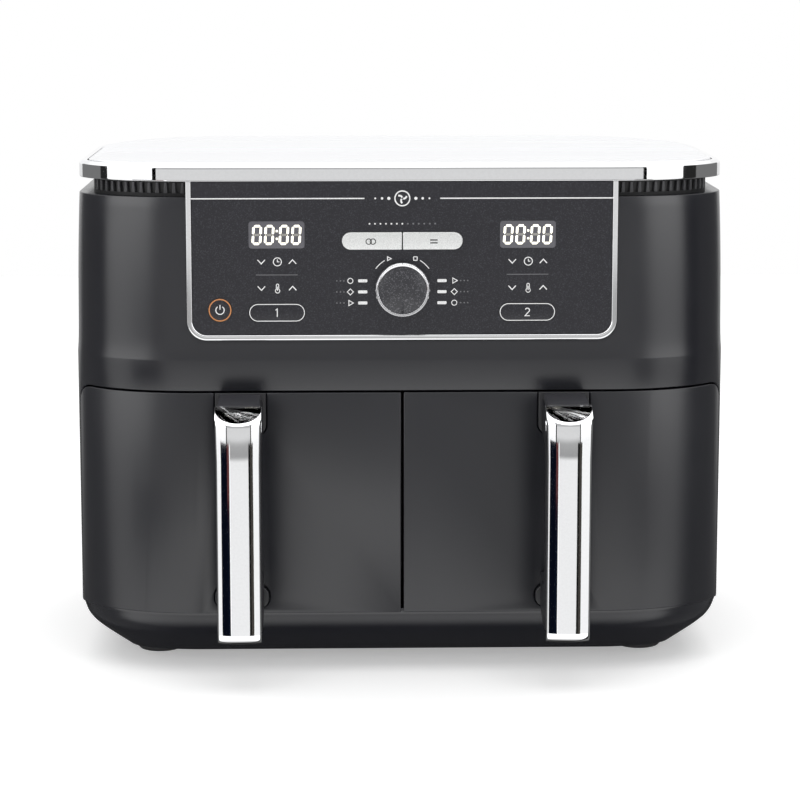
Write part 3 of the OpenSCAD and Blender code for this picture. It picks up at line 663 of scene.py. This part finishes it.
def build_bezel():
    """Bright U round the panel: a rounded section swept down, across and up."""
    mid = 1.75
    top = bezel.z1
    r = 12.5 - mid
    half = bezel.w / 2 - mid
    low = bezel.z0 + mid
    path = ([(-half, top)] + arc(-half + r, low + r, r, r, 180, 270, 16)
            + arc(half - r, low + r, r, r, 270, 360, 16) + [(half, top)])
    section = filleted([(-mid, 3.2), (-mid, 0), (mid, 0), (mid, 3.2)], [0, 0.9, 0.9, 0], 6)
    rings = []
    for i, p in enumerate(path):
        a, b = Vector(path[max(i - 1, 0)]), Vector(path[min(i + 1, len(path) - 1)])
        t = (b - a).normalized()
        if i == 0 or i == len(path) - 1:
            t = Vector((0, -1)) if i == 0 else Vector((0, 1))
        n = Vector((-t.y, t.x))
        rings.append([(p[0] + n.x * s, bezel.y0 + d, p[1] + n.y * s) for s, d in section])
    obj = make("panel_frame", loft(rings))
    dress(obj, "housing", CHROME, ["panel_trim"])


LIT_BARS = "abcdef"


def seven(cx, cz, w, h, lit, shear=0.06):
    """Bars of one seven-segment figure as (lit bars, unlit bars)."""
    t = h * 0.135
    hx, hz = w / 2, h / 2
    bars = {
        "a": ((-hx, hz), (hx, hz)), "b": ((hx, hz), (hx, 0)), "c": ((hx, 0), (hx, -hz)),
        "d": ((-hx, -hz), (hx, -hz)), "e": ((-hx, 0), (-hx, -hz)), "f": ((-hx, hz), (-hx, 0)),
        "g": ((-hx, 0), (hx, 0)),
    }
    on, off = [], []
    for key, (p, q) in bars.items():
        p, q = Vector(p), Vector(q)
        d = (q - p).normalized()
        n = Vector((-d.y, d.x)) * t / 2
        p, q = p + d * t * 0.22, q - d * t * 0.22
        tip = d * t * 0.45
        outline = [p, p + tip + n, q - tip + n, q, q - tip - n, p + tip - n]
        outline = [(cx + v.x + v.y * shear, cz + v.y) for v in outline]
        bar = along_y(outline, FACE_Y - PRINT, FACE_Y + 0.02)
        (on if key in lit else off).append(bar)
    return on, off


def build_displays():
    for number, _ in SIDES:
        box = Span(f"display_lens_{number}")
        lens = make(f"display_glass_{number}",
                    along_y(rounded(box.w, box.h, 1.95, 8, box.x, box.z), box.y0, box.y1))
        dress(lens, "housing", WINDOW, [f"display_lens_{number}"], bevel=0.15)
        h = 11.0
        w = 4.6
        pitch = 7.35
        lit, unlit = [], []
        for k in (-1.66, -0.62, 0.62, 1.66):
            on, off = seven(box.x + k * pitch, box.z, w, h, LIT_BARS)
            lit += on
            unlit += off
        for dz in (-h * 0.22, h * 0.22):
            lit.append(along_y(rounded(1.3, 1.3, 0.3, 3, box.x + 0.2, box.z + dz),
                               FACE_Y - PRINT, FACE_Y + 0.02))
        printed(f"digits_{number}", lit, DIGITS)
        printed(f"digits_off_{number}", unlit, DIM)


def dot(cx, cz, r):
    return along_y(circle(cx, cz, r, 14), FACE_Y - PRINT, FACE_Y + 0.02)


def chevron(cx, cz, up):
    d = 1.25 if up else -1.25
    return on_panel([(cx - 2.3, cz - d), (cx, cz + d), (cx + 2.3, cz - d)], 0.62)


def clock(cx, cz, r=2.5):
    return [on_panel(circle(cx, cz, r), 0.55, True),
            on_panel([(cx, cz + r * 0.6), (cx, cz), (cx + r * 0.5, cz)], 0.5)]


def thermometer(cx, cz, h=2.6):
    stem = arc(cx, cz + h * 0.75, 0.75, 0.75, 0, 180, 8) + [(cx - 0.75, cz - h * 0.2)]
    stem += arc(cx, cz - h * 0.62, 1.35, 1.35, 125, 415, 16) + [(cx + 0.75, cz + h * 0.7)]
    return [on_panel(stem[:-1], 0.5, True),
            on_panel([(cx, cz + h * 0.4), (cx, cz - h * 0.6)], 0.55)]


def build_print():
    lens = Span("display_lens_1")
    zone = Span("zone_button_1")
    marks, soft = [], []
    for _, side in SIDES:
        x = side * abs(lens.x)
        gap_z = (lens.z0 - zone.z1) / 4
        time_z = zone.z1 + gap_z * 3
        temp_z = zone.z1 + gap_z
        for z, symbol in ((time_z, clock), (temp_z, thermometer)):
            marks += [chevron(x - 9.6, z, False), chevron(x + 9.8, z, True)]
            marks += symbol(x + 0.4, z)
        z = (time_z + temp_z) / 2 + 0.1
        soft.append(on_panel([(x - 13, z), (x + 13, z)], 0.42))
    # lines across the top, with a plain fan sign and dots between them
    top_z = film.z1 - 10.4
    for side in (-1, 1):
        marks.append(on_panel([(side * 23.5, top_z), (side * (film.w / 2 - 2.5), top_z)], 0.75))
    marks.append(on_panel(circle(0, top_z, 4.6), 0.8, True))
    for k in range(3):
        turn = math.radians(90 + 120 * k)
        blade = [(t * 3.4 * math.cos(turn + t * 1.1), top_z + t * 3.4 * math.sin(turn + t * 1.1))
                 for t in (0.15, 0.4, 0.65, 0.9)]
        marks.append(on_panel(blade, 1.1))
    for side in (-1, 1):
        marks += [dot(side * (8.4 + 4.2 * k), top_z, 1.0 - 0.2 * k) for k in range(3)]
    row_z = Span("sync_button").z + 10.7
    marks += [dot(-20.4 + 3.4 * k, row_z, 0.55) for k in range(7)]
    soft += [dot(3.4 + 3.4 * k, row_z, 0.55) for k in range(6)]
    printed("panel_print", marks)
    printed("panel_print_soft", soft, GREY_PRINT)


def build_dial():
    box = Span("dial_ring")
    c = (box.x, 0, box.z)
    y0 = -box.y0
    r = box.w / 2
    inner = r - 2.0
    deep = Span("dial_knob").y1
    ring_profile = filleted([(inner, -deep), (r, -deep), (r, y0 - 1.4), (r - 0.7, y0),
                             (inner, y0 - 0.3)], [0, 0.3, 0.6, 0.5, 0.2], 5)
    obj = make("dial_bezel", lathe(ring_profile, c, "-Y", 96))
    dress(obj, "dial", DIAL_RING, ["dial_ring"])
    top = y0 - 0.55
    face = [(3.05, -deep), (inner - 0.05, -deep), (inner - 0.05, top - 0.5),
            (inner - 0.7, top), (0.01, top + 0.06), (0.01, top - 2), (3.05, top - 2)]
    obj = make("dial_cap", lathe(face, c, "-Y", 96))
    notch = block(-0.75, 0.75, -y0 - 1, -y0 + 1.2, box.z - inner + 0.8, box.z - inner + 3.4)
    cut(obj, notch)
    dress(obj, "dial", DIAL, ["dial_knob"])


def build_keys():
    for node, side, name in (("sync_button", -1, "sync_key_cap"),
                             ("match_button", 1, "match_key_cap")):
        box = Span(node)
        bar_z = box.z
        h = 10.8
        w = 37.5
        bend = arc(w - h / 2, 0, h / 2, h / 2, 90, -90, 18)
        outline = [(side * x, z + bar_z) for x, z in [(0.35, -h / 2), (0.35, h / 2)] + bend]
        obj = make(name, along_y(outline, box.y0, FACE_Y + 3.4))
        body = node.replace("_button", "_key")
        dress(obj, body, PILL, [node], bevel=0.45, segments=4)
        at = side * 19.6
        if side < 0:
            signs = [on_panel(circle(at + k * 1.3, bar_z - 0.3, 1.7, 24), 0.5, True, box.y0)
                     for k in (-1, 1)]
        else:
            signs = [on_panel([(at - 2.3, bar_z - 0.3 + k), (at + 2.3, bar_z - 0.3 + k)], 0.7,
                              False, box.y0) for k in (-0.9, 0.9)]
        printed(body + "_sign", signs, INK_AND_SHADE, body)
        lamp = on_panel([(at - 2.2, bar_z - 4.2), (at + 2.2, bar_z - 4.2)], 0.8, False, box.y0)
        printed(body + "_lamp", [lamp], WHITE, body)
        length = box.y1 - FACE_Y - 3.3
        post = lathe([(0.01, 0), (2, 0), (2, length), (0.01, length)],
                     (side * 20, FACE_Y + 3.3, bar_z), "+Y", 24)
        flange = along_y([(side * x, z + bar_z) for x, z in
                          [(0.5, -h / 2 - 1.2), (0.5, h / 2 + 1.2)]
                          + arc(w - h / 2, 0, h / 2 + 1.2, h / 2 + 1.2, 90, -90, 18)],
                         FACE_Y + 3.35, FACE_Y + 4.4)
        obj = make(name.replace("cap", "stem"), join([post, flange]))
        dress(obj, body, PILL)
    for number, _ in SIDES:
        node = f"zone_button_{number}"
        box = Span(node)
        h = 11.5
        w = 35.1
        cap = along_y(rounded(w, h, 5.7, 10, box.x, box.z), box.y0, FACE_Y + 3.4)
        obj = make(f"zone_key_cap_{number}", cap)
        dress(obj, f"zone_key_{number}", FILM, [node], bevel=0.25)
        face = box.y0
        outline = rounded(w - 1.0, h - 1.0, 5.2, 10, box.x, box.z)
        rim = [on_panel(outline, 0.5, True, face)]
        printed(f"zone_rim_{number}", rim, WHITE, f"zone_key_{number}")
        printed(f"zone_figure_{number}", [figure(number, box.x, box.z, 5.2, face)], WHITE,
                f"zone_key_{number}")
    box = Span("power_button")
    r = 7.2
    thick = box.y1 - box.y0 - 9
    profile = filleted([(0.01, 0), (r, 0), (r, thick), (0.01, thick)], [0, 0.3, 0, 0], 4)
    obj = make("power_key_cap", lathe(profile, (box.x, box.y0, box.z), "+Y", 64))
    dress(obj, "power_key", FILM, ["power_button"])
    printed("power_ring", [on_panel(circle(box.x, box.z, r - 0.45, 64), 0.75, True, box.y0)],
            COPPER, "power_key")
    sign = [on_panel(arc(box.x, box.z, 2.6, 2.6, 125, 415, 28), 0.6, False, box.y0),
            on_panel([(box.x, box.z + 0.4), (box.x, box.z + 3.3)], 0.6, False, box.y0)]
    printed("power_sign", sign, WHITE, "power_key")


def figure(number, cx, cz, h, face):
    """Plain figure 1 or 2 as a raised line."""
    u = h / 2
    if number == 1:
        pts = [(-0.34, 0.62), (0.05, 0.92), (0.05, -1.0)]
    else:
        pts = arc(0, 0.42, 0.52, 0.5, 160, -25, 12) + [(-0.55, -0.92), (0.58, -0.92)]
    return on_panel([(cx + x * u, cz + z * u) for x, z in pts], 0.62, False, face)


LAMP_X = 24.7
SIGN_X = 32.4
ROW_STEP = 6.95
MODE_SIGNS = ((28, 1.6), (4, 1.9), (3, 1.9))  # (corners, radius), top to bottom on the left


def build_dial_marks():
    """Lamps and plain signs beside the dial, with short arcs, a triangle and a square over it."""
    box = Span("dial_ring")
    marks, soft = [], []
    for side in (-1, 1):
        for k in (-1, 0, 1):
            bar = rounded(5.8, 1.9, 0.6, 4, side * LAMP_X, box.z - 2.0 - k * ROW_STEP)
            marks.append(along_y(bar, FACE_Y - PRINT, FACE_Y + 0.02))
        a0, a1 = (143, 122) if side < 0 else (37, 58)
        marks.append(on_panel(arc(0, box.z, 20.8, 20.8, a0, a1, 10), 0.55))
        soft += [dot(side * (36.4 + 2.2 * i), box.z - 2.0 - k * ROW_STEP, 0.45)
                 for i in range(3) for k in (-1, 0, 1)]
        signs = (MODE_SIGNS if side < 0 else MODE_SIGNS[::-1])
        for k, (corners, r) in enumerate(signs):
            outline = circle(side * SIGN_X, box.z - 2.0 - (k - 1) * ROW_STEP, r, corners)
            marks.append(on_panel(outline, 0.5, True))
    high = box.z + 18.8
    marks.append(on_panel([(-9.2, high - 1.2), (-6.9, high), (-9.2, high + 1.2)], 0.6, True))
    marks.append(on_panel(rounded(2.2, 2.2, 0.2, 2, 8.1, high), 0.6, True))
    printed("lamp_bars", marks)
    printed("mode_dots", soft, GREY_PRINT)


# ---------------------------------------------------------------- drawers

HANDLE_W = 28
ROOTS = ((43.5, 57.5, 34), (154.8, drawer.z1, 31.8))  # (bottom, top, width) of each pad
REACH = FRONT_Y - Span("handle_trim_1").y0
CROWN = 27


def drawer_side(z0, z1, y1, r):
    return [(FRONT_Y - 4, z1), (FRONT_Y - 4, z0), (y1, z0)] + arc(y1 - r, z1 - r, r, r, 0, 90, 12)


def build_drawer(number, side):
    box = Span(f"drawer_front_{number}")
    hole = Span(f"basket_{number}")
    obj = make(f"drawer_face_{number}", slab(body_plan(0), box.z0, box.z1))
    left = box.x0 - 1 if side < 0 else box.x0
    right = box.x1 if side < 0 else box.x1 + 1
    keep = along_x(drawer_side(box.z0, box.z1, box.y1, 14), left, right)
    trimmed(obj, keep)
    deep = hole.y1 - hole.y0 + 1.2
    cut(obj, slab(rounded(hole.w - 4, deep, 30.5, 10, hole.x, hole.y), hole.z0 - 1.8,
                  hole.z1 + 1.8))
    grip = Span(f"handle_body_{number}")
    cut(obj, *[along_y(root_outline(grip.x, z0, z1, w, 0.7), FRONT_Y - 1, FRONT_Y + 1.6)
               for z0, z1, w in ROOTS])
    dress(obj, f"drawer_{number}", DRAWER, [f"drawer_front_{number}"],
          bevel=0.6)


def root_outline(cx, z0, z1, w, grow=0.0):
    """Pad where the handle meets the drawer. The upper one runs out at the drawer's top."""
    if z1 == drawer.z1:
        pad = bottom_rounded(w + 2 * grow, z0 - grow, z1 + grow, 6 + grow)
        return [(cx + x, z) for x, z in pad]
    return rounded(w + 2 * grow, z1 - z0 + 2 * grow, 6 + grow, 8, cx, (z0 + z1) / 2)


def to_frame(points):
    """(u, z) points, u being the distance out from the drawer face, as (y, z)."""
    return [(FRONT_Y - u, z) for u, z in points]


def crown_depth(x, r=CROWN):
    return r - math.sqrt(r * r - x * x)


def build_handle(number):
    body_box = Span(f"handle_body_{number}")
    cx = body_box.x
    body = f"drawer_{number}"
    r = REACH
    grip = [(0, 176.8), (33, 174.6), (41.2, 166.4), (41.2, 44), (39.6, 38.8), (35, 36.8),
            (20, 38.4), (8, 41.6), (0, 46), (0, 66), (9, 61.4), (20, 61.6), (28, 66.4),
            (31.5, 76), (32.5, 100), (31.5, 140), (29, 148), (22, 153.6), (10, 156.2), (0, 156.6)]
    radii = [0, 3, 1, 1.5, 2, 3, 8, 8, 0, 0, 8, 8, 8, 8, 30, 8, 6, 6, 6, 0]
    profile = to_frame(filleted(grip, radii, 5))
    obj = make(f"handle_grip_{number}", along_x(profile, cx - HANDLE_W / 2, cx + HANDLE_W / 2))
    dress(obj, body, HANDLE, [f"handle_body_{number}"], bevel=0.9, segments=4)
    pads = [along_y(root_outline(cx, z0, z1, w), FRONT_Y - out, FRONT_Y + 1.5)
            for (z0, z1, w), out in zip(ROOTS, (3.0, 0.6))]
    obj = make(f"handle_root_{number}", join(pads))
    dress(obj, body, HANDLE, bevel=0.6)

    half = HANDLE_W / 2 - 0.5
    front = [(31.6, 44.4), (31.9, 45.4), (32.6, 46.4), (33.8, 47.2), (35.5, 47.7), (38, 47.9),
             (41, 47.9), (64, 47.9), (105, 47.9), (146, 47.9), (168, 47.9), (172, 47.4),
             (182, 45.6)]
    rings = []
    for z, u in front:
        flare = min(1.0, max(0.0, (z - 160) / 10)) ** 2 * 0.8
        row = [(cx + x, FRONT_Y - (u - d), z) for x, d in strip_section(half + flare)]
        back = min(r - 6.8, 38.2 + max(0.0, z - 34.4) * 0.33)
        back -= max(0.0, z - 161) * 1.05
        row += [(cx + half + flare, FRONT_Y - back, z), (cx - half - flare, FRONT_Y - back, z)]
        rings.append(row)
    obj = make(f"handle_strip_{number}", loft(rings))
    slope = [(r - 26, 186.8), (r + 6, 164.8), (r + 6, 200), (r - 26, 200)]
    pocket = slab(tongue(cx, NOSE_W + 0.95, NOSE_U + 2.0), 163, 195)
    cut(obj, along_x(to_frame(slope), cx - 40, cx + 40), pocket,
        along_x(to_frame([(10, 150), (33.4, 150), (33.4, 200), (10, 200)]), cx - 40, cx + 40))
    dress(obj, body, CHROME, [f"handle_trim_{number}"], bevel=0.3, angle=40)

    top = [(0, 176.0), (0, 180.8), (31, 179.6), (46.5, 169.2), (46.5, 163.5), (41.2, 163.5),
           (33, 172.5)]
    top = to_frame(filleted(top, [0, 0, 16, 0, 0, 0, 0], 12))
    obj = make(f"handle_top_{number}", along_x(top, cx - HANDLE_W / 2, cx + HANDLE_W / 2))
    trimmed(obj, slab(tongue(cx, NOSE_W, NOSE_U), 150, 200))
    tilt = (Matrix.Translation((cx - 0.6, FRONT_Y - 39.6, 173.85))
            @ Matrix.Rotation(math.radians(-56), 4, "X"))
    cut(obj, moved(numeral(number, -2.0, 1.1), tilt))
    insert = make(f"handle_figure_{number}", moved(numeral(number, 0.12, 1.4), tilt))
    dress(insert, body, INK_AND_SHADE)
    dress(obj, body, CAP, [f"handle_cap_{number}"], bevel=0.45)
    # Near-black sheet just under the cap and a little wider than it: painted shade that makes the
    # gap round the cap read dark.
    gap_shade_profile = [(0, 175.5), (33, 173.5), (46.2, 161.5), (46.2, 160.5), (33, 170), (0, 172)]
    obj = make(f"handle_gap_shade_{number}", along_x(to_frame(gap_shade_profile), cx - HANDLE_W / 2,
                                                  cx + HANDLE_W / 2))
    trimmed(obj, slab(tongue(cx, NOSE_W + 0.9, NOSE_U + 1.9), 150, 200))
    dress(obj, body, INK_AND_SHADE)


NOSE_W = 12.9
NOSE_U = 43.6


def tongue(cx, half, tip):
    """Plan outline of the handle's top cover: parallel sides and an elliptical nose."""
    deep = 9.5
    turns = [math.radians(a) for a in range(-90, 91, 5)]
    nose = [(cx + half * math.sin(a), FRONT_Y - tip + deep * (1 - math.cos(a))) for a in turns]
    return nose + [(cx + half, FRONT_Y + 1), (cx - half, FRONT_Y + 1)]


def strip_section(half):
    """(x, depth behind the crown) across the bright strip, with rounded shoulders."""
    out = []
    for i in range(-24, 25):
        x = half * math.sin(math.radians(i * 90 / 24))
        shoulder = max(0.0, abs(x) - (half - 0.9)) / 0.9
        out.append((x, crown_depth(x) + 0.9 * (1 - math.sqrt(max(0.0, 1 - shoulder ** 2)))))
    return out


def numeral(number, y0, y1):
    """Slanted figure sunk into the cover, drawn in x-z with its depth along y."""
    u = 3.0
    if number == 1:
        pts = [(-0.62, 0.62), (0.30, 0.86), (-0.12, -1.0)]
    else:
        pts = arc(0.12, 0.42, 0.55, 0.5, 160, -35, 12) + [(-0.62, -0.92), (0.56, -0.92)]
    return line([(x * u, z * u) for x, z in pts], 1.4, y0, y1)


# ---------------------------------------------------------------- studio

def build_floor():
    floor = make("studio_floor", block(-9000, 9000, -9000, 1900, -20, 0))
    paper = material("studio_paper", (0.88, 0.88, 0.88), 0.9, grain=0.01, grain_size=2,
                     mottle=0.004)
    shader = paper.node_tree.nodes["Principled BSDF"]
    shader.inputs["Emission Color"].default_value = (1, 1, 1, 1)
    shader.inputs["Emission Strength"].default_value = 0.35
    floor.data.materials.append(paper)
    floor.visible_glossy = False


def softbox(name, centre, target, w, h, radiance):
    """Rectangular light of an even brightness. Reflections see the cards instead."""
    data = bpy.data.lights.new(name, "AREA")
    data.shape = "RECTANGLE"
    data.size, data.size_y = w, h
    data.energy = radiance * 2 * w * h
    obj = bpy.data.objects.new(name, data)
    bpy.context.scene.collection.objects.link(obj)
    obj.location = centre
    obj.rotation_euler = (Vector(target) - obj.location).to_track_quat("-Z", "Y").to_euler()
    obj.visible_camera = False
    obj.visible_glossy = False


FAR = 14.0
EYE = 0.2


def glow_material():
    mat = bpy.data.materials.new("card_glow")
    mat.use_nodes = True
    nodes, links = mat.node_tree.nodes, mat.node_tree.links
    nodes.remove(nodes["Principled BSDF"])
    level = nodes.new("ShaderNodeAttribute")
    level.attribute_name = "glow"
    light = nodes.new("ShaderNodeEmission")
    links.new(level.outputs["Color"], light.inputs["Color"])
    links.new(light.outputs["Emission"], nodes["Material Output"].inputs["Surface"])
    mat.cycles.emission_sampling = "NONE"
    return mat


GLOW = glow_material()


def arc_card(name, a0, a1, levels, tint=(1, 1, 1)):
    """Far curved card that only reflections see, between two azimuths from -Y towards +X.
    levels lists (elevation in degrees, brightness) from low to high."""
    n = max(2, int(abs(a1 - a0) / 4))
    points, shades, faces = [], [], []
    for elevation, value in levels:
        for i in range(n + 1):
            a = math.radians(a0 + (a1 - a0) * i / n)
            e = math.radians(elevation)
            points.append((FAR * math.cos(e) * math.sin(a), -FAR * math.cos(e) * math.cos(a),
                           EYE + FAR * math.sin(e)))
            shades.append(value)
    for r in range(len(levels) - 1):
        base = r * (n + 1)
        faces += [(base + i, base + i + 1, base + n + 2 + i, base + n + 1 + i) for i in range(n)]
    mesh = bpy.data.meshes.new(name)
    mesh.from_pydata(points, [], faces)
    glow = mesh.color_attributes.new("glow", "FLOAT_COLOR", "POINT")
    for slot_, v in zip(glow.data, shades):
        slot_.color = (v * tint[0], v * tint[1], v * tint[2], 1)
    mesh.materials.append(GLOW)
    card = bpy.data.objects.new(name, mesh)
    bpy.context.scene.collection.objects.link(card)
    for ray in ("camera", "diffuse", "shadow", "transmission", "volume_scatter"):
        setattr(card, f"visible_{ray}", False)


def build_lights():
    world = bpy.data.worlds.new("studio")
    world.use_nodes = True
    nodes, links = world.node_tree.nodes, world.node_tree.links
    back = nodes["Background"]
    back.inputs["Color"].default_value = (1, 1, 1, 1)
    path = nodes.new("ShaderNodeLightPath")
    level = nodes.new("ShaderNodeMapRange")
    level.inputs["To Min"].default_value = 0.45
    level.inputs["To Max"].default_value = 1.0
    links.new(path.outputs["Is Camera Ray"], level.inputs["Value"])
    links.new(level.outputs["Result"], back.inputs["Strength"])
    bpy.context.scene.world = world

    softbox("overhead", (0, -0.1, 2.3), (0, -0.1, 0), 3.2, 2.6, 2.5)
    softbox("front_fill", (0, -2.2, 1.0), (0, 0, 1.0), 2.2, 2.0, 1.0)
    softbox("box_right", (1.2, -1.1, 0.95), (0, 0, 0.95), 0.9, 1.9, 0.5)
    softbox("box_left", (-1.3, -0.9, 0.95), (0, 0, 0.95), 1.2, 1.9, 0.5)
    softbox("back_wall", (0, 3.2, 1.2), (0, 0, 1.2), 7.0, 2.4, 0.9)

    TIER = -7.5
    floor_edge, low, high = -60, -22, 52
    arc_card("scrim_high", -30, 30, [(TIER, 0.42), (-6.2, 0.74), (-3.6, 0.72), (-2, 0.5),
                                     (high, 0.5)])
    arc_card("scrim_low", -23, 25, [(low, 0.95), (-11.2, 0.92), (-10.3, 0.35), (TIER, 0.42)])
    arc_card("scrim_edge_left", -25, -23, [(low, 1.2), (TIER, 1.2)])
    arc_card("gap_left_high", -32.6, -30, [(TIER, 0.0), (high, 0.0)])
    arc_card("gap_right_high", 30, 32.4, [(TIER, 0.0), (high, 0.0)])
    arc_card("gap_left_low", -48, -31, [(low, 0.004), (TIER, 0.004)], (0.5, 0.8, 2.0))
    arc_card("gap_left_blue", -31, -25, [(low, 0.006), (-12.6, 0.006)], (0.5, 0.9, 2.2))
    arc_card("gap_left_red", -31, -25, [(-12.6, 0.10), (TIER, 0.10)], (1.3, 0.42, 0.42))
    arc_card("gap_right_black", 25, 30, [(low, 0.008), (TIER, 0.008)])
    arc_card("gap_right_grey", 30, 37, [(low, 0.05), (TIER, 0.05)], (1.1, 1.0, 0.9))
    box = [(TIER, 1.05), (-4, 1.3), (1, 2.6), (high, 2.6)]
    below = [(low, 1.0), (-14, 1.0), (TIER, 1.05)]
    arc_card("box_left_high", -74, -32.6, box)
    arc_card("box_left_low", -74, -48, below)
    arc_card("box_right_high", 32.4, 62.7, box)
    arc_card("box_right_low", 37, 62.7, below)
    arc_card("floor_bounce", -74, 62.7, [(-78, 0.03), (floor_edge, 0.5), (-45, 1.5), (low, 1.5)])
    arc_card("floor_shade", 0, 360, [(-90, 0.02), (-78, 0.03)])
    arc_card("side_gap_left", -84, -74, [(-78, 0.02), (18, 0.02)])
    arc_card("side_gap_right", 62.7, 79, [(-78, 0.02), (18, 0.02)])
    arc_card("side_left", -135, -84, [(-78, 0.03), (floor_edge, 0.18), (18, 0.18)])
    arc_card("side_right", 79, 135, [(-78, 0.03), (floor_edge, 0.18), (18, 0.18)])
    arc_card("side_sky_left", -135, -74, [(18, 0.8), (high, 1.6)])
    arc_card("side_sky_right", 62.7, 135, [(18, 0.8), (high, 1.6)])
    arc_card("back_card", 135, 225, [(-78, 0.03), (-20, 0.05), (0, 1.0), (high, 1.0)])
    arc_card("ceiling", 0, 360, [(high, 2.2), (90, 2.2)])


def build_camera():
    data = bpy.data.cameras.new("camera")
    data.sensor_width = 36
    data.lens = 110.48
    data.shift_y = -0.08
    data.clip_end = 200
    cam = bpy.data.objects.new("camera", data)
    bpy.context.scene.collection.objects.link(cam)
    cam.location = (-0.0384, -1.6304, 0.4462)
    cam.rotation_euler = [math.radians(a) for a in (90 - 8.586, 0, -1.395)]
    bpy.context.scene.camera = cam


dress_cad()
build_shell()
build_base()
build_feet()
build_lid()
build_collar()
build_rear()
build_bezel()
build_displays()
build_print()
build_dial()
build_dial_marks()
build_keys()
for number, side in SIDES:
    build_drawer(number, side)
    build_handle(number)
build_floor()
build_lights()
build_camera()
bpy.context.scene.view_settings.view_transform = "Standard"

bpy.context.view_layer.update()
